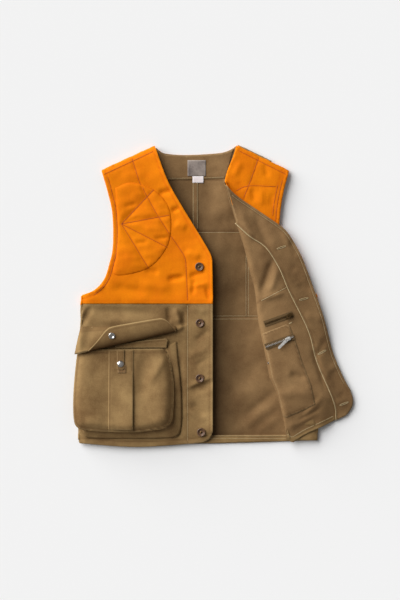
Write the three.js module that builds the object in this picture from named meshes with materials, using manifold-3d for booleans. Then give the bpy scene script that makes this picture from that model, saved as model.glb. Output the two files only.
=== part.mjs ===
// Upland field vest laid on its back. The right front is closed over the back, and the left front is
// turned back on itself along a slanting fold, so that its inside faces up.
// X runs across the chest, Y from hem to collar, Z up from the surface it lies on. Millimetres.
import * as THREE from 'three';
import { mergeVertices } from 'three/addons/utils/BufferGeometryUtils.js';
import Module from 'manifold-3d';

const wasm = await Module();
wasm.setup();

// overall sizes: the pattern below is drawn for drawnChest and drawnLength, and graded to these
const chestWidth = 524; // side seam to side seam, lying flat
const bodyLength = 660; // collar point to hem
const drawnChest = 524;
const drawnLength = 660;

// layers
const cloth = 1.2; // one worked layer of canvas
const trim = 1.0; // facings, hems and labels
const layerGap = 0.3; // air between layers that lie on each other
const bodyAir = 6.6; // room between the back and the fronts
const seamWidth = 7; // felled seam that joins front to back
const padThick = 4.5;

// bellows pocket
const mouthHeight = 6; // front panel above its backing, at the mouth
const footHeight = 28; // and at the bottom
const gussetWall = 2;
const pleatWidth = 54;
const tabWidth = 16;
const tabLength = 43;
const flapRise = 20; // how far the turned-up flap leans off the horizontal, degrees
const flapLeftHeight = 17; // the flap's fold above the front panel, at its two ends
const flapRightHeight = 7.5;

// the squashed pocket in the fold of the left front
const squashedPocket = 9.1;

// hardware
const buttonDiameter = 19;
const buttonHeight = 3.8;
const buttonholeLength = 22;
const buttonholeWidth = 1.6;
const snapDiameter = 14.5;
const snapHeight = 3;
const liningSnapDiameter = 8.4;
const liningSnapDrop = 405; // down the fold from the neckline
const zipTapeWidth = 13;
const zipTapeThick = 0.7;
const chainWidth = 4.6;
const chainHeight = 1.6;
const sliderLength = 12;
const sliderWidth = 8.6;
const sliderHeight = 2.4;
const bridgeWidth = 1.4;
const bridgeBar = 1.2;
const bridgeRoom = 2.6; // clear height under the slider's bridge
const bridgeLength = 6.4;
const pullThick = 1.2;
const pullWidth = 6.6;
const pullEye = 5.4;
const pullRim = 1.4;

const gradeX = chestWidth / drawnChest;
const gradeY = bodyLength / drawnLength;

// heights of the layers, from the surface up
const backZ = 0;
const liningZ = backZ + cloth + layerGap;
const trimZ = liningZ + cloth + layerGap;
const frontLiningZ = liningZ + cloth + bodyAir;
const frontZ = frontLiningZ + cloth + layerGap;
const frontTop = frontZ + cloth;
const pocketZ = frontTop + layerGap;
const mouthZ = pocketZ + mouthHeight;
const foldZ = pocketZ + squashedPocket + layerGap / 2;
const turnedPocketZ = foldZ + layerGap / 2;
const turnedOuterZ = turnedPocketZ + squashedPocket + layerGap;
const turnedLiningZ = turnedOuterZ + cloth + layerGap;
const turnedTrimZ = turnedLiningZ + cloth + layerGap;
const zipZ = turnedTrimZ + trim + layerGap;

// pattern outlines: corners are where one run meets the next, and a run of three or more points is a smooth curve
const collarPointRight = [-129, 330];
const shoulderTipRight = [-246, 276];
const armpitRight = [-289, 3];
const collarPointLeft = [50, 331];
const shoulderTipLeft = [166, 275];
const armpitLeft = [226, 6];
const foldTop = [23, 248];
const foldFoot = [162, -314];
const armholeRight = [shoulderTipRight, [-233, 232], [-222, 180], [-221, 109], [-229, 70], [-240, 38], [-262, 14], armpitRight];
const armholeLeft = [armpitLeft, [197, 11], [172, 24], [157, 48], [145, 88], [143, 130], [147, 190], [155, 235], shoulderTipLeft];
const sideRight = [armpitRight, [-290, -60], [-294, -200], [-296, -318]];
const sideLeft = [[228, -316], [231, -228], [230, -120], armpitLeft];
const frontEdge = [[-2, -296], [-2, -8], [-3, 78]];
const necklineRight = [[-3, 78], [-8, 95], [-30, 133], [-68, 195], [-101, 254], collarPointRight];
const rightHem = [[-294, -322], [-170, -330], [-52, -323], [-24, -320], [-9, -312], [-2, -296]];
const backNeck = [collarPointLeft, [36, 322], [10, 315], [-60, 311], [-105, 314], [-120, 321], collarPointRight];
const backHem = [[-296, -318], [-170, -324], [0, -323], [228, -316]];
const turnedEdge = [foldTop, [47, 223], [98, 188], [146, 155], [163, 139], [179, 113], [197, 78], [223, 7], [243, -50],
  [262, -122], [284, -175], [301, -206]];
const turnedHem = [[301, -206], [306, -224], [304, -243], [291, -261], [267, -272], [206, -300], [185, -312],
  [172, -320], foldFoot];
const facingSeam = [[47, 160], [78, 131], [113, 107], [142, 63], [164, 12], [206, -74], [226, -144], [263, -232], [269, -272]];

const yokeSeam = [[-310, -16], [260, -16]];
const turnedYokeSeam = [[88, -17], [230, 58]];
const edgeFold = [[-96, 245], [-59, -323]]; // where the right front's edge turns back
const backSplitY = 143; // cross seam of the back lining
const centreBackX = -40;
const pouchTopY = -45;

const pocketFrontLine = [[-104, -114], [-93, -150], [-88, -193], [-89, -240], [-93, -270], [-106, -284], [-133, -290],
  [-173, -295], [-226, -294], [-270, -291], [-297, -284], [-305, -262], [-306, -215], [-303, -165], [-298, -116]];
const pocketFootLine = [[-81, -98], [-78, -140], [-72, -193], [-70, -240], [-71, -285], [-80, -306], [-110, -310],
  [-173, -311], [-226, -311], [-262, -310], [-281, -306], [-287, -285], [-287, -215], [-286, -165], [-285, -112]];
const flapAxis = [[-294, -124], [-81, -76]];
const flapSeamY = -67;
// flap edge, along the fold and away from it
const flapEdge = [[22, 2], [50, 25], [72, 43], [88, 46], [137, 44], [184, 41], [196, 38], [206, 27], [218, 0.3]];
const flapCorner = [1, 0.3];
const flapSnapAt = [79, 26];
const tabSnapDrop = 30; // from the mouth to the middle of the snap
const pleatLeftX = -229;
const tabX = -203;
const padLine = [[-216, 238], [-180, 250], [-131, 234], [-100, 200], [-92, 157], [-102, 107], [-144, 61], [-216, 47],
  [-214, 90], [-211, 140], [-213, 190]];
const buttonsAt = [[-31, 65], [-30, -58], [-30, -179], [-27, -297]];
const buttonholesAt = [[148, 107], [197, -5.5], [237, -122], [286, -235]];
const buttonholeTilt = [19, 14, 27, 19]; // degrees
const innerPocketLine = [[106, -81], [157, -61], [165, -64], [176, -91], [194, -147], [212, -193], [221, -235], [194, -249],
  [152, -270]];
const turnedPocketLine = [[106, -87], [190, -52], [222, -120], [239, -201], [226, -250], [196, -278], [157, -288]];
const sidePocketLine = [[112, -88], [222, -90], [226, -288], [162, -288]];

// materials
const shades = {
  blaze: [0xf08200, 0.85, 0],
  canvas: [0x8a6c46, 0.9, 0],
  inside: [0x7c6040, 0.9, 0],
  label: [0xb9a999, 0.8, 0],
  white: [0xe8e2e2, 0.8, 0],
  horn: [0x5a3a26, 0.4, 0],
  nickel: [0xb8b8b8, 0.3, 1],
  antique: [0x6b563c, 0.4, 1],
};
const finishes = Object.fromEntries(Object.entries(shades).map(([name, [color, roughness, metalness]]) => [
  name, new THREE.MeshStandardMaterial({ color, roughness, metalness }),
]));

const vest = new THREE.Group();

const at = ([x, y]) => [x * gradeX, y * gradeY];
const vectors = (points) => points.map(([x, y]) => new THREE.Vector2(x, y));

// points along one run: a straight line, or a smooth curve through its points
function walk(run, steps) {
  return run.length < 3 ? vectors(run) : new THREE.SplineCurve(vectors(run)).getPoints(steps * (run.length - 1));
}

// closed outline from runs that follow one another
function outline(runs, steps = 3) {
  const points = runs.flatMap((run) => walk(run.map(at), steps));
  const apart = points.filter((p, i) => p.distanceTo(points[(i + 1) % points.length]) > 0.05);
  return new THREE.Shape(apart);
}

function solidOf(geometry) {
  const bare = geometry.index ? geometry.clone() : geometry;
  bare.deleteAttribute('normal');
  bare.deleteAttribute('uv');
  const merged = mergeVertices(bare, 1e-4);
  return new wasm.Manifold(new wasm.Mesh({
    numProp: 3,
    vertProperties: Float32Array.from(merged.attributes.position.array),
    triVerts: Uint32Array.from(merged.index.array),
  }));
}

function geometryOf(solid) {
  const mesh = solid.getMesh();
  const geometry = new THREE.BufferGeometry();
  geometry.setAttribute('position', new THREE.BufferAttribute(mesh.vertProperties, 3));
  geometry.setIndex(new THREE.BufferAttribute(mesh.triVerts, 1));
  return geometry;
}

function plate(shape, z, thick) {
  return solidOf(new THREE.ExtrudeGeometry(shape, { depth: thick, bevelEnabled: false }).translate(0, 0, z));
}

function piece(name, solid, finish, parent = vest) {
  const mesh = new THREE.Mesh(solid.isBufferGeometry ? solid : geometryOf(solid), finishes[finish]);
  mesh.name = name;
  parent.add(mesh);
  return mesh;
}

// everything to the left of the line from a to b, drawn in by inset
function leftOf([a, b], inset = layerGap / 2) {
  const reach = 2000;
  const [start, end] = vectors([at(a), at(b)]);
  const along = end.clone().sub(start).normalize();
  const left = new THREE.Vector2(-along.y, along.x);
  const corner = (run, side) => start.clone().addScaledVector(along, run).addScaledVector(left, side);
  const shape = new THREE.Shape([corner(-reach, inset), corner(reach, inset), corner(reach, reach), corner(-reach, reach)]);
  return plate(shape, -reach / 4, reach);
}

const rightOf = ([a, b], inset) => leftOf([b, a], inset);
const above = (y, inset) => leftOf([[0, y], [1, y]], inset);
const below = (y, inset) => leftOf([[1, y], [0, y]], inset);

// a strip of the given width, inside the line from a to b
function strip([a, b], width, z, height) {
  const [start, end] = vectors([at(a), at(b)]);
  const along = end.clone().sub(start).normalize();
  const inward = new THREE.Vector2(-along.y, along.x).multiplyScalar(width);
  return plate(new THREE.Shape([start, end, end.clone().add(inward), start.clone().add(inward)]), z, height);
}

// round piece from half profile points [radius, height], lying at x, y, z
function turned(profile, [x, y], z, segments = 24) {
  const closed = [[0, profile[0][1]], ...profile, [0, profile.at(-1)[1]]];
  const geometry = new THREE.LatheGeometry(vectors(closed), segments);
  geometry.rotateX(Math.PI / 2);
  return solidOf(geometry.translate(x, y, z));
}

// --- back ---
function makeBack() {
  const shape = outline([backNeck, armholeRight, sideRight, backHem, sideLeft, armholeLeft]);
  const outer = plate(shape, backZ, cloth);
  const inner = plate(shape, liningZ, cloth);
  piece('back_yoke', outer.intersect(above(yokeSeam[0][1])), 'blaze');
  piece('back_body', outer.intersect(below(yokeSeam[0][1])), 'canvas');
  const seam = [[centreBackX, -400], [centreBackX, 400]];
  const upper = inner.intersect(above(backSplitY));
  piece('back_lining_left', upper.intersect(rightOf(seam)), 'inside');
  piece('back_lining_right', upper.intersect(leftOf(seam)), 'inside');
  piece('back_lining_waist', inner.intersect(below(backSplitY)).intersect(above(pouchTopY)), 'inside');
  piece('game_pouch', inner.intersect(below(pouchTopY)), 'inside');
  const overlay = plate(shape, trimZ, trim);
  const neckSides = rightOf([[-92, 250], [-118, 318]], 0).intersect(leftOf([[20, 250], [38, 322]], 0));
  piece('neck_facing', overlay.intersect(above(256)).intersect(neckSides), 'inside');
  const hemEnds = rightOf([[-280, -400], [-280, 400]], 0).intersect(leftOf([[214, -400], [214, 400]], 0));
  piece('back_hem', overlay.intersect(below(-306)).intersect(hemEnds), 'canvas');
  const [seamX, seamTop] = at([centreBackX, 255]);
  const [, seamFoot] = at([0, backSplitY + 2]);
  const fell = plate(box(-5, seamFoot, 5, seamTop - layerGap), trimZ, trim);
  piece('centre_back_seam', geometryOf(fell).translate(seamX, 0, 0), 'canvas');
}

const box = (x0, y0, x1, y1) => new THREE.Shape(vectors([[x0, y0], [x1, y0], [x1, y1], [x0, y1]]));

function makeLabels() {
  const labelZ = trimZ + trim + layerGap;
  const [x, y] = at([-37, 282]);
  piece('neck_label', plate(box(x - 20, y - 17.5, x + 20, y + 17.5), labelZ, trim), 'label');
  piece('size_label', plate(box(x - 9, y - 33, x + 15, y - 17.9), labelZ, trim), 'white');
}

// --- right front, closed ---
function makeRightFront() {
  const runs = [necklineRight, armholeRight, sideRight, rightHem, frontEdge];
  const shape = outline(runs);
  const outer = plate(shape, frontZ, cloth);
  const inner = plate(shape, frontLiningZ, cloth);
  const fixed = rightOf(edgeFold);
  const moving = leftOf(edgeFold);
  const top = above(yokeSeam[0][1]);
  const foot = below(yokeSeam[0][1]);
  piece('right_yoke', outer.intersect(fixed).intersect(top), 'blaze');
  piece('right_front', outer.intersect(fixed).intersect(foot), 'canvas');
  piece('right_front_lining', inner.intersect(fixed), 'inside');
  piece('right_edge_yoke', outer.intersect(moving).intersect(top), 'blaze');
  piece('right_edge_front', outer.intersect(moving).intersect(foot), 'canvas');
  piece('right_facing', inner.intersect(moving), 'inside');
  piece('shoulder_pad', plate(outline([padLine.slice(0, 8), padLine.slice(7)]), pocketZ, padThick), 'blaze');
}

function makeButtons() {
  const r = buttonDiameter / 2;
  const profile = [[r - 1, 0], [r, 1], [r, buttonHeight - 1], [r - 1.2, buttonHeight], [r - 3, buttonHeight - 1.4]];
  buttonsAt.forEach((place, i) => piece(`button_${i + 1}`, turned(profile, at(place), frontTop + layerGap), 'horn'));
}

// --- seams that join the fronts to the back ---
function makeSeams() {
  const z = liningZ + cloth + layerGap;
  const height = frontLiningZ - layerGap - z;
  const inset = 3; // seam lies just inside the edge
  const inRight = ([x, y]) => [x + inset, y - inset];
  const inLeft = ([x, y]) => [x - inset, y - inset];
  piece('right_shoulder_seam', strip([shoulderTipRight, collarPointRight].map(inRight).reverse(), seamWidth, z, height), 'inside');
  piece('left_shoulder_seam', strip([shoulderTipLeft, [56, 326]].map(inLeft), seamWidth, z, height), 'inside');
  piece('right_side_seam', strip([[-292, -314], [-286, -4]].reverse(), seamWidth, z, height), 'inside');
  piece('left_side_seam', strip([[225, -312], [223, 0]], seamWidth, z, height), 'inside');
}

// --- bellows pocket on the right front ---
const slope = (footHeight - mouthHeight) / (181 * gradeY);
const mouthY = at([0, -114])[1];
const frontRise = (y) => (mouthY - y) * slope;

// plate that leans with the pocket front
function leaning(shape, z, thick) {
  const lean = new THREE.Matrix4().set(1, 0, 0, 0, 0, 1, 0, 0, 0, -slope, 1, mouthY * slope, 0, 0, 0, 1);
  const flat = new THREE.ExtrudeGeometry(shape, { depth: thick, bevelEnabled: false }).translate(0, 0, z);
  return solidOf(flat.applyMatrix4(lean));
}

// solid between two rings of as many points, the lower one flat at z and the upper one following the front
function bellows(footRing, topRing, z, lift) {
  const count = footRing.length;
  const points = [];
  footRing.forEach((p) => points.push(p.x, p.y, z));
  topRing.forEach((p) => points.push(p.x, p.y, mouthZ + lift + frontRise(p.y)));
  const index = [];
  for (let i = 0; i < count; i += 1) {
    const next = (i + 1) % count;
    index.push(i, next, count + next, i, count + next, count + i);
  }
  THREE.ShapeUtils.triangulateShape(footRing, []).forEach(([a, b, c]) => index.push(a, c, b));
  THREE.ShapeUtils.triangulateShape(topRing, []).forEach(([a, b, c]) => index.push(count + a, count + b, count + c));
  const geometry = new THREE.BufferGeometry();
  geometry.setAttribute('position', new THREE.Float32BufferAttribute(points, 3));
  geometry.setIndex(index);
  return solidOf(geometry);
}

// ring of points moved towards its inside
function drawnIn(ring, by) {
  return ring.map((p, i) => {
    const before = ring[(i + ring.length - 1) % ring.length];
    const after = ring[(i + 1) % ring.length];
    const along = after.clone().sub(before).normalize();
    return new THREE.Vector2(p.x - along.y * by, p.y + along.x * by);
  });
}

function makePocket() {
  const ring = (line) => walk(line.map(at), 2).reverse();
  const foot = ring(pocketFootLine);
  const top = ring(pocketFrontLine);
  const outer = bellows(foot, top, pocketZ, -layerGap);
  const hollow = bellows(drawnIn(foot, gussetWall), drawnIn(top, gussetWall), pocketZ - 1, 1);
  const mouthCut = above(-114, -gussetWall * 2);
  const gusset = outer.subtract(hollow).subtract(mouthCut);
  piece('pocket_gusset', gusset, 'canvas');
  piece('pocket_front', leaning(outline([pocketFrontLine, [[-298, -116], [-104, -114]]], 2), mouthZ, cloth), 'canvas');
  const pleatZ = mouthZ + cloth + layerGap;
  const [pleatX, pleatTop] = at([pleatLeftX, -117]);
  const [, pleatFoot] = at([0, -291]);
  piece('pocket_pleat', leaning(box(pleatX, pleatFoot, pleatX + pleatWidth, pleatTop), pleatZ, cloth), 'canvas');
  const [tabMiddle] = at([tabX, 0]);
  const tabZ = pleatZ + cloth + layerGap;
  const half = tabWidth / 2;
  const tab = box(tabMiddle - half, pleatTop - tabLength, tabMiddle + half, pleatTop);
  piece('snap_tab', leaning(tab, tabZ, cloth), 'canvas');
  const snapY = pleatTop - tabSnapDrop;
  const snapZ = tabZ + cloth + layerGap + frontRise(snapY - snapDiameter / 2);
  piece('tab_snap', turned(snapProfile(), [tabMiddle, snapY], snapZ), 'nickel');
}

function snapProfile() {
  const r = snapDiameter / 2;
  return [[r - 0.6, 0], [r, 0.6], [r, snapHeight * 0.5], [r - 2, snapHeight], [r - 3.2, snapHeight * 0.75]];
}

// frame of the flap: X along its fold, Y away from the fold over the cloth, Z off its upper face
function flapFrame() {
  const [[ax, ay], [bx, by]] = flapAxis.map(at);
  const start = new THREE.Vector3(ax, ay, frontTop + flapLeftHeight);
  const along = new THREE.Vector3(bx, by, frontTop + flapRightHeight).sub(start).normalize();
  const level = new THREE.Vector3(-along.y, along.x, 0).normalize();
  const up = along.clone().cross(level);
  const rise = THREE.MathUtils.degToRad(flapRise);
  const away = level.multiplyScalar(Math.cos(rise)).addScaledVector(up, Math.sin(rise));
  const frame = new THREE.Matrix4().makeBasis(along, away, along.clone().cross(away));
  return frame.setPosition(start);
}

function makeFlap() {
  const flap = new THREE.Group();
  flap.applyMatrix4(flapFrame());
  vest.add(flap);
  const lift = layerGap / 2;
  const edge = outline([[flapEdge.at(-1), flapCorner], [flapCorner, flapEdge[0]], flapEdge], 2);
  piece('pocket_flap', plate(edge, lift, cloth), 'canvas', flap);
  piece('flap_snap', turned(snapProfile(), at(flapSnapAt), lift + cloth + layerGap), 'nickel', flap);
  makeFlapHeel();
}

// the stretch of flap cloth between its seam and the fold, a sloping slab with a twisted top
function makeFlapHeel() {
  const [left, right] = flapAxis.map(at);
  const seamY = flapSeamY * gradeY;
  const leftZ = frontTop + flapLeftHeight - layerGap;
  const rightZ = frontTop + flapRightHeight - layerGap;
  const seamZ = pocketZ + cloth;
  const top = [[...left, leftZ], [...right, rightZ], [right[0], seamY, seamZ], [left[0] + 6, seamY, seamZ]];
  const corners = [...top.map(([x, y, z]) => [x, y, z - cloth]), ...top].flat();
  const index = [0, 2, 1, 0, 3, 2, 4, 5, 6, 4, 6, 7];
  for (let i = 0; i < 4; i += 1) {
    const next = (i + 1) % 4;
    index.push(i, next, 4 + next, i, 4 + next, 4 + i);
  }
  const slab = new THREE.BufferGeometry();
  slab.setAttribute('position', new THREE.Float32BufferAttribute(corners, 3));
  slab.setIndex(index);
  piece('flap_heel', slab, 'canvas');
}

// --- left front: the part that stays down ---
const fold = [foldTop, foldFoot];

function makeLeftSide() {
  const necklineLeft = [collarPointLeft, [42, 305], [30, 275], foldTop];
  const runs = [necklineLeft, fold, [foldFoot, [228, -316]], sideLeft, armholeLeft];
  const shape = outline(runs);
  const kept = leftOf(fold);
  const outer = plate(shape, frontZ, cloth).intersect(kept);
  piece('left_yoke', outer.intersect(above(yokeSeam[0][1])), 'blaze');
  piece('left_front_side', outer.intersect(below(yokeSeam[0][1])), 'canvas');
  piece('left_side_lining', plate(shape, frontLiningZ, cloth).intersect(kept), 'inside');
  piece('left_pocket_side', plate(outline([sidePocketLine.slice(0, 2), sidePocketLine.slice(2)]), pocketZ, squashedPocket), 'canvas');
}

// --- left front: the part that is turned back ---
function makeTurnedFront() {
  const shape = outline([turnedEdge, turnedHem, [foldFoot, foldTop]], 2);
  const holes = buttonholes();
  const kept = leftOf(fold);
  const cut = (z, thick) => plate(shape, z, thick).intersect(kept).subtract(holes);
  const outer = cut(turnedOuterZ, cloth);
  const inner = cut(turnedLiningZ, cloth);
  const top = leftOf(turnedYokeSeam);
  const foot = rightOf(turnedYokeSeam);
  piece('left_turned_yoke', outer.intersect(top), 'blaze');
  piece('left_turned_front', outer.intersect(foot), 'canvas');
  piece('left_yoke_lining', inner.intersect(top), 'inside');
  piece('left_front_lining', inner.intersect(foot), 'inside');
  const facing = plate(outline([facingSeam, [[269, -272], [400, -300]], [[400, 300], [20, 260]]]), turnedTrimZ, trim);
  piece('left_facing', cut(turnedTrimZ, trim).intersect(facing), 'inside');
  piece('inner_pocket', plate(outline([innerPocketLine.slice(0, 2), innerPocketLine.slice(2)], 2), turnedTrimZ, trim).intersect(kept), 'inside');
  const line = [turnedPocketLine.slice(0, 2), turnedPocketLine.slice(2)];
  piece('left_pocket_front', plate(outline(line, 2), turnedPocketZ, squashedPocket).intersect(kept), 'canvas');
}

function buttonholes() {
  const half = buttonholeLength / 2;
  const slot = new THREE.Shape();
  slot.absarc(half - buttonholeWidth / 2, 0, buttonholeWidth / 2, -Math.PI / 2, Math.PI / 2);
  slot.absarc(-half + buttonholeWidth / 2, 0, buttonholeWidth / 2, Math.PI / 2, Math.PI * 1.5);
  return buttonholesAt.map(at).map(([x, y], i) => {
    const geometry = new THREE.ExtrudeGeometry(slot, { depth: 60, bevelEnabled: false, curveSegments: 4 });
    geometry.rotateZ(THREE.MathUtils.degToRad(buttonholeTilt[i]));
    return solidOf(geometry.translate(x, y, frontTop));
  }).reduce((all, one) => all.add(one));
}

// zip of a tape, a chain of teeth, a slider and its pull, built along X from its lower left end
function makeZip(name, [from, to], sliderAt, pull, metal, z) {
  const [start, end] = vectors([at(from), at(to)]);
  const length = start.distanceTo(end);
  const zip = new THREE.Group();
  zip.position.set(start.x, start.y, z);
  zip.rotation.z = end.clone().sub(start).angle();
  vest.add(zip);
  const half = zipTapeWidth / 2;
  piece(`${name}_zip_tape`, plate(box(0, -half, length, half), 0, zipTapeThick), 'inside', zip);
  const chainZ = zipTapeThick + layerGap;
  const chain = box(0.5, -chainWidth / 2, length - 0.5, chainWidth / 2);
  piece(`${name}_zip_chain`, plate(chain, chainZ, chainHeight), metal, zip);
  const slider = piece(`${name}_zip_slider`, sliderSolid(), metal, zip);
  slider.position.set(sliderAt, 0, chainZ + chainHeight + layerGap);
  const tongue = piece(`${name}_zip_pull`, pullSolid(pull.length), metal, slider);
  tongue.position.z = sliderHeight + bridgeRoom / 2;
  tongue.rotation.z = THREE.MathUtils.degToRad(pull.turn);
}

function sliderSolid() {
  const nose = sliderLength / 2;
  const body = new THREE.Shape(vectors([[-nose, -2.6], [1, -sliderWidth / 2], [nose, -sliderWidth / 2 + 1],
    [nose, sliderWidth / 2 - 1], [1, sliderWidth / 2], [-nose, 2.6]]));
  const crown = plate(body, 0, sliderHeight);
  const tall = sliderHeight + bridgeRoom + bridgeBar;
  const arch = plate(box(-bridgeLength / 2, -bridgeWidth / 2, bridgeLength / 2, bridgeWidth / 2), sliderHeight - 0.1, tall - sliderHeight);
  const room = bridgeLength / 2 - bridgeBar;
  const hollow = plate(box(-room, -bridgeWidth, room, bridgeWidth), sliderHeight, bridgeRoom);
  return crown.add(arch.subtract(hollow));
}

// tongue with an eye, its eye's rim on the origin and its length along X
function pullSolid(length) {
  const half = pullWidth / 2;
  const tongue = new THREE.Shape();
  tongue.moveTo(-pullRim / 2, -half);
  tongue.lineTo(length - half, -half * 0.8);
  tongue.absarc(length - half, 0, half * 0.8, -Math.PI / 2, Math.PI / 2);
  tongue.lineTo(-pullRim / 2, half);
  tongue.holes.push(new THREE.Path(vectors([[pullRim / 2, -half + 1], [pullRim / 2, half - 1],
    [pullRim / 2 + pullEye, half - 1], [pullRim / 2 + pullEye, -half + 1]])));
  return plate(tongue, -pullThick / 2, pullThick);
}

// cap of the snap that is set through the left front where it folds, standing on edge against the fold
function makeLiningSnap() {
  const [start, end] = vectors(fold.map(at));
  const along = end.clone().sub(start).normalize();
  const place = start.clone().addScaledVector(along, liningSnapDrop).addScaledVector(along.clone().rotateAround(new THREE.Vector2(), -Math.PI / 2), layerGap);
  const r = liningSnapDiameter / 2;
  const cap = new THREE.LatheGeometry(vectors([[0, 0], [r, 0], [r, 1], [r - 1.2, 2.2], [0, 2.2]]), 20);
  cap.rotateZ(Math.PI / 2);
  cap.rotateZ(along.angle() + Math.PI / 2);
  piece('lining_snap', solidOf(cap.translate(place.x, place.y, foldZ + layerGap + r)), 'nickel');
}

makeBack();
makeLabels();
makeRightFront();
makeButtons();
makeSeams();
makePocket();
makeFlap();
makeLeftSide();
makeTurnedFront();
makeZip('lower', [[112, -110], [175, -87]], 52, { length: 30, turn: -155 }, 'nickel', zipZ);
makeZip('upper', [[110, -60], [172, -38]], 59, { length: 14, turn: -150 }, 'antique', turnedTrimZ);
makeLiningSnap();

// stand the origin under the middle of the whole vest
const extent = new THREE.Box3().setFromObject(vest);
vest.position.set(-(extent.min.x + extent.max.x) / 2, -(extent.min.y + extent.max.y) / 2, -extent.min.z);

export default vest;
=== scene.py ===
# Field vest laid on its back: blaze cotton twill yoke over tan waxed canvas, one front turned back.
import math
import bpy
import numpy as np
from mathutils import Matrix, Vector
from mathutils.geometry import delaunay_2d_cdt
from mathutils.kdtree import KDTree


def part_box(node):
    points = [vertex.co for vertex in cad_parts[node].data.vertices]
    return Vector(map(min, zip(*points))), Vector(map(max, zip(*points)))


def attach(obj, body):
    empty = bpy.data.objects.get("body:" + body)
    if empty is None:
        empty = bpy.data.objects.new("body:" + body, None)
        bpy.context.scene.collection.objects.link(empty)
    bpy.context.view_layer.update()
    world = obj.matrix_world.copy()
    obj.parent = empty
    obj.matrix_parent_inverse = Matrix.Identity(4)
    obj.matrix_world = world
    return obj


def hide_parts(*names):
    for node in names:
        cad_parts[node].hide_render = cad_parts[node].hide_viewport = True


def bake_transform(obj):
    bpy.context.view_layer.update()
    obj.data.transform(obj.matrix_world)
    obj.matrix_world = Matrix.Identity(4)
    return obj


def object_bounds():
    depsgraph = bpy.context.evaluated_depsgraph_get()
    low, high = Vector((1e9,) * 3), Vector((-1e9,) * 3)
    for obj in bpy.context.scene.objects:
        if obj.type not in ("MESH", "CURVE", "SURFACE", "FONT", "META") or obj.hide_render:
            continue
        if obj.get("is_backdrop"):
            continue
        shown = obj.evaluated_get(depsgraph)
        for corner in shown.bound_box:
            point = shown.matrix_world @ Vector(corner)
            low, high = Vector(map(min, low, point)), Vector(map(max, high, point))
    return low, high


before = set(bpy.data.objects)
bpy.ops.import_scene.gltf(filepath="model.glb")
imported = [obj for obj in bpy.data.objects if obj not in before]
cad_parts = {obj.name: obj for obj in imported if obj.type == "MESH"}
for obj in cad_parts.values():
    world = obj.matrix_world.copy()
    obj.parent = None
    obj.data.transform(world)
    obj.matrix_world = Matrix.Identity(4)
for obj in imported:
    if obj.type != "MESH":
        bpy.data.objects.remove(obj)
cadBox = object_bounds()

scene = bpy.context.scene
mm = 0.001  # patterns are drawn in millimetres, and meshes are made in metres


def nodeMiddle(name):
    low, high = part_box(name)
    return np.array((low + high) / 2) / mm


def nodeTop(name):
    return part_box(name)[1].z / mm


topButton = (-31, 65)
patternShift = nodeMiddle("button_1") * (1, 1, 0) - (*topButton, 0)  # from the pattern's place to the frame's


def headings(line):  # unit direction at each point of a line
    ahead = np.gradient(line, axis=0)
    return ahead / np.linalg.norm(ahead, axis=1, keepdims=True)


def leftOf(directions):
    return np.column_stack([-directions[:, 1], directions[:, 0]])


def resample(curve, pitch):
    step = np.linalg.norm(np.diff(curve, axis=0), axis=1)
    s = np.r_[0, np.cumsum(step)]
    count = max(2, int(round(s[-1] / pitch)) + 1)
    at = np.linspace(0, s[-1], count)
    return np.column_stack([np.interp(at, s, curve[:, k]) for k in range(curve.shape[1])])


def smoothLine(points, pitch=6.0):  # straight for two points, a smooth curve through more
    p = np.array(points, float)
    if len(p) == 2:
        return resample(p, pitch)
    far = np.vstack([2 * p[0] - p[1], p, 2 * p[-1] - p[-2]])
    t = np.linspace(0, 1, 13)[:-1, None]
    parts = []
    for a, b, c, d in zip(far, far[1:], far[2:], far[3:]):
        square, cube = 2 * a - 5 * b + 4 * c - d, 3 * b - 3 * c + d - a
        parts.append(0.5 * (2 * b + (c - a) * t + square * t ** 2 + cube * t ** 3))
    return resample(np.vstack(parts + [p[-1:]]), pitch)


def outline(runs, pitch):  # closed ring of runs, each starting where the last one ended
    return np.vstack([smoothLine(r, pitch)[:-1] for r in runs])


# distance to a line, how far along it, and the signed side, positive on the left
def nearest(points, line):
    best = np.full(len(points), 1e9)
    along, side = np.zeros(len(points)), np.ones(len(points))
    s = 0.0
    for a, b in zip(line, line[1:]):
        ab = b - a
        length = math.hypot(*ab)
        ap = points - a
        t = np.clip(ap @ ab / (length * length + 1e-12), 0, 1)
        d = np.hypot(ap[:, 0] - t * ab[0], ap[:, 1] - t * ab[1])
        closer = d < best
        best[closer] = d[closer]
        along[closer] = s + t[closer] * length
        side[closer] = np.sign(ab[0] * ap[closer, 1] - ab[1] * ap[closer, 0])
        s += length
    return best, along, side


def inside(points, ring):
    x, y = points[:, 0], points[:, 1]
    odd = np.zeros(len(points), bool)
    for (ax, ay), (bx, by) in zip(ring, np.roll(ring, -1, axis=0)):
        if ay == by:
            continue
        crosses = (ay > y) != (by > y)
        odd ^= crosses & (x < (bx - ax) * (y - ay) / (by - ay) + ax)
    return odd


def noise(x, y, scaleX, scaleY, seed):  # smooth noise from -1 to 1, in cells of the given size
    grid = np.random.default_rng(seed).uniform(-1, 1, (64, 64))
    u, v = x / scaleX + 17.3, y / scaleY + 31.7
    i, j = np.floor(u).astype(int), np.floor(v).astype(int)
    f, g = u - i, v - j
    f, g = f ** 3 * (f * (6 * f - 15) + 10), g ** 3 * (g * (6 * g - 15) + 10)
    a, b = grid[i % 64, j % 64], grid[(i + 1) % 64, j % 64]
    c, d = grid[i % 64, (j + 1) % 64], grid[(i + 1) % 64, (j + 1) % 64]
    return (a * (1 - f) + b * f) * (1 - g) + (c * (1 - f) + d * f) * g


def waves(P, layers):  # each layer has a height, the size of a wave in x and in y, and a seed
    return sum(height * noise(P[:, 0], P[:, 1], *cells) for height, *cells in layers)


def smooth(low, high, value):
    t = np.clip((value - low) / (high - low), 0, 1)
    return t * t * (3 - 2 * t)


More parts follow.
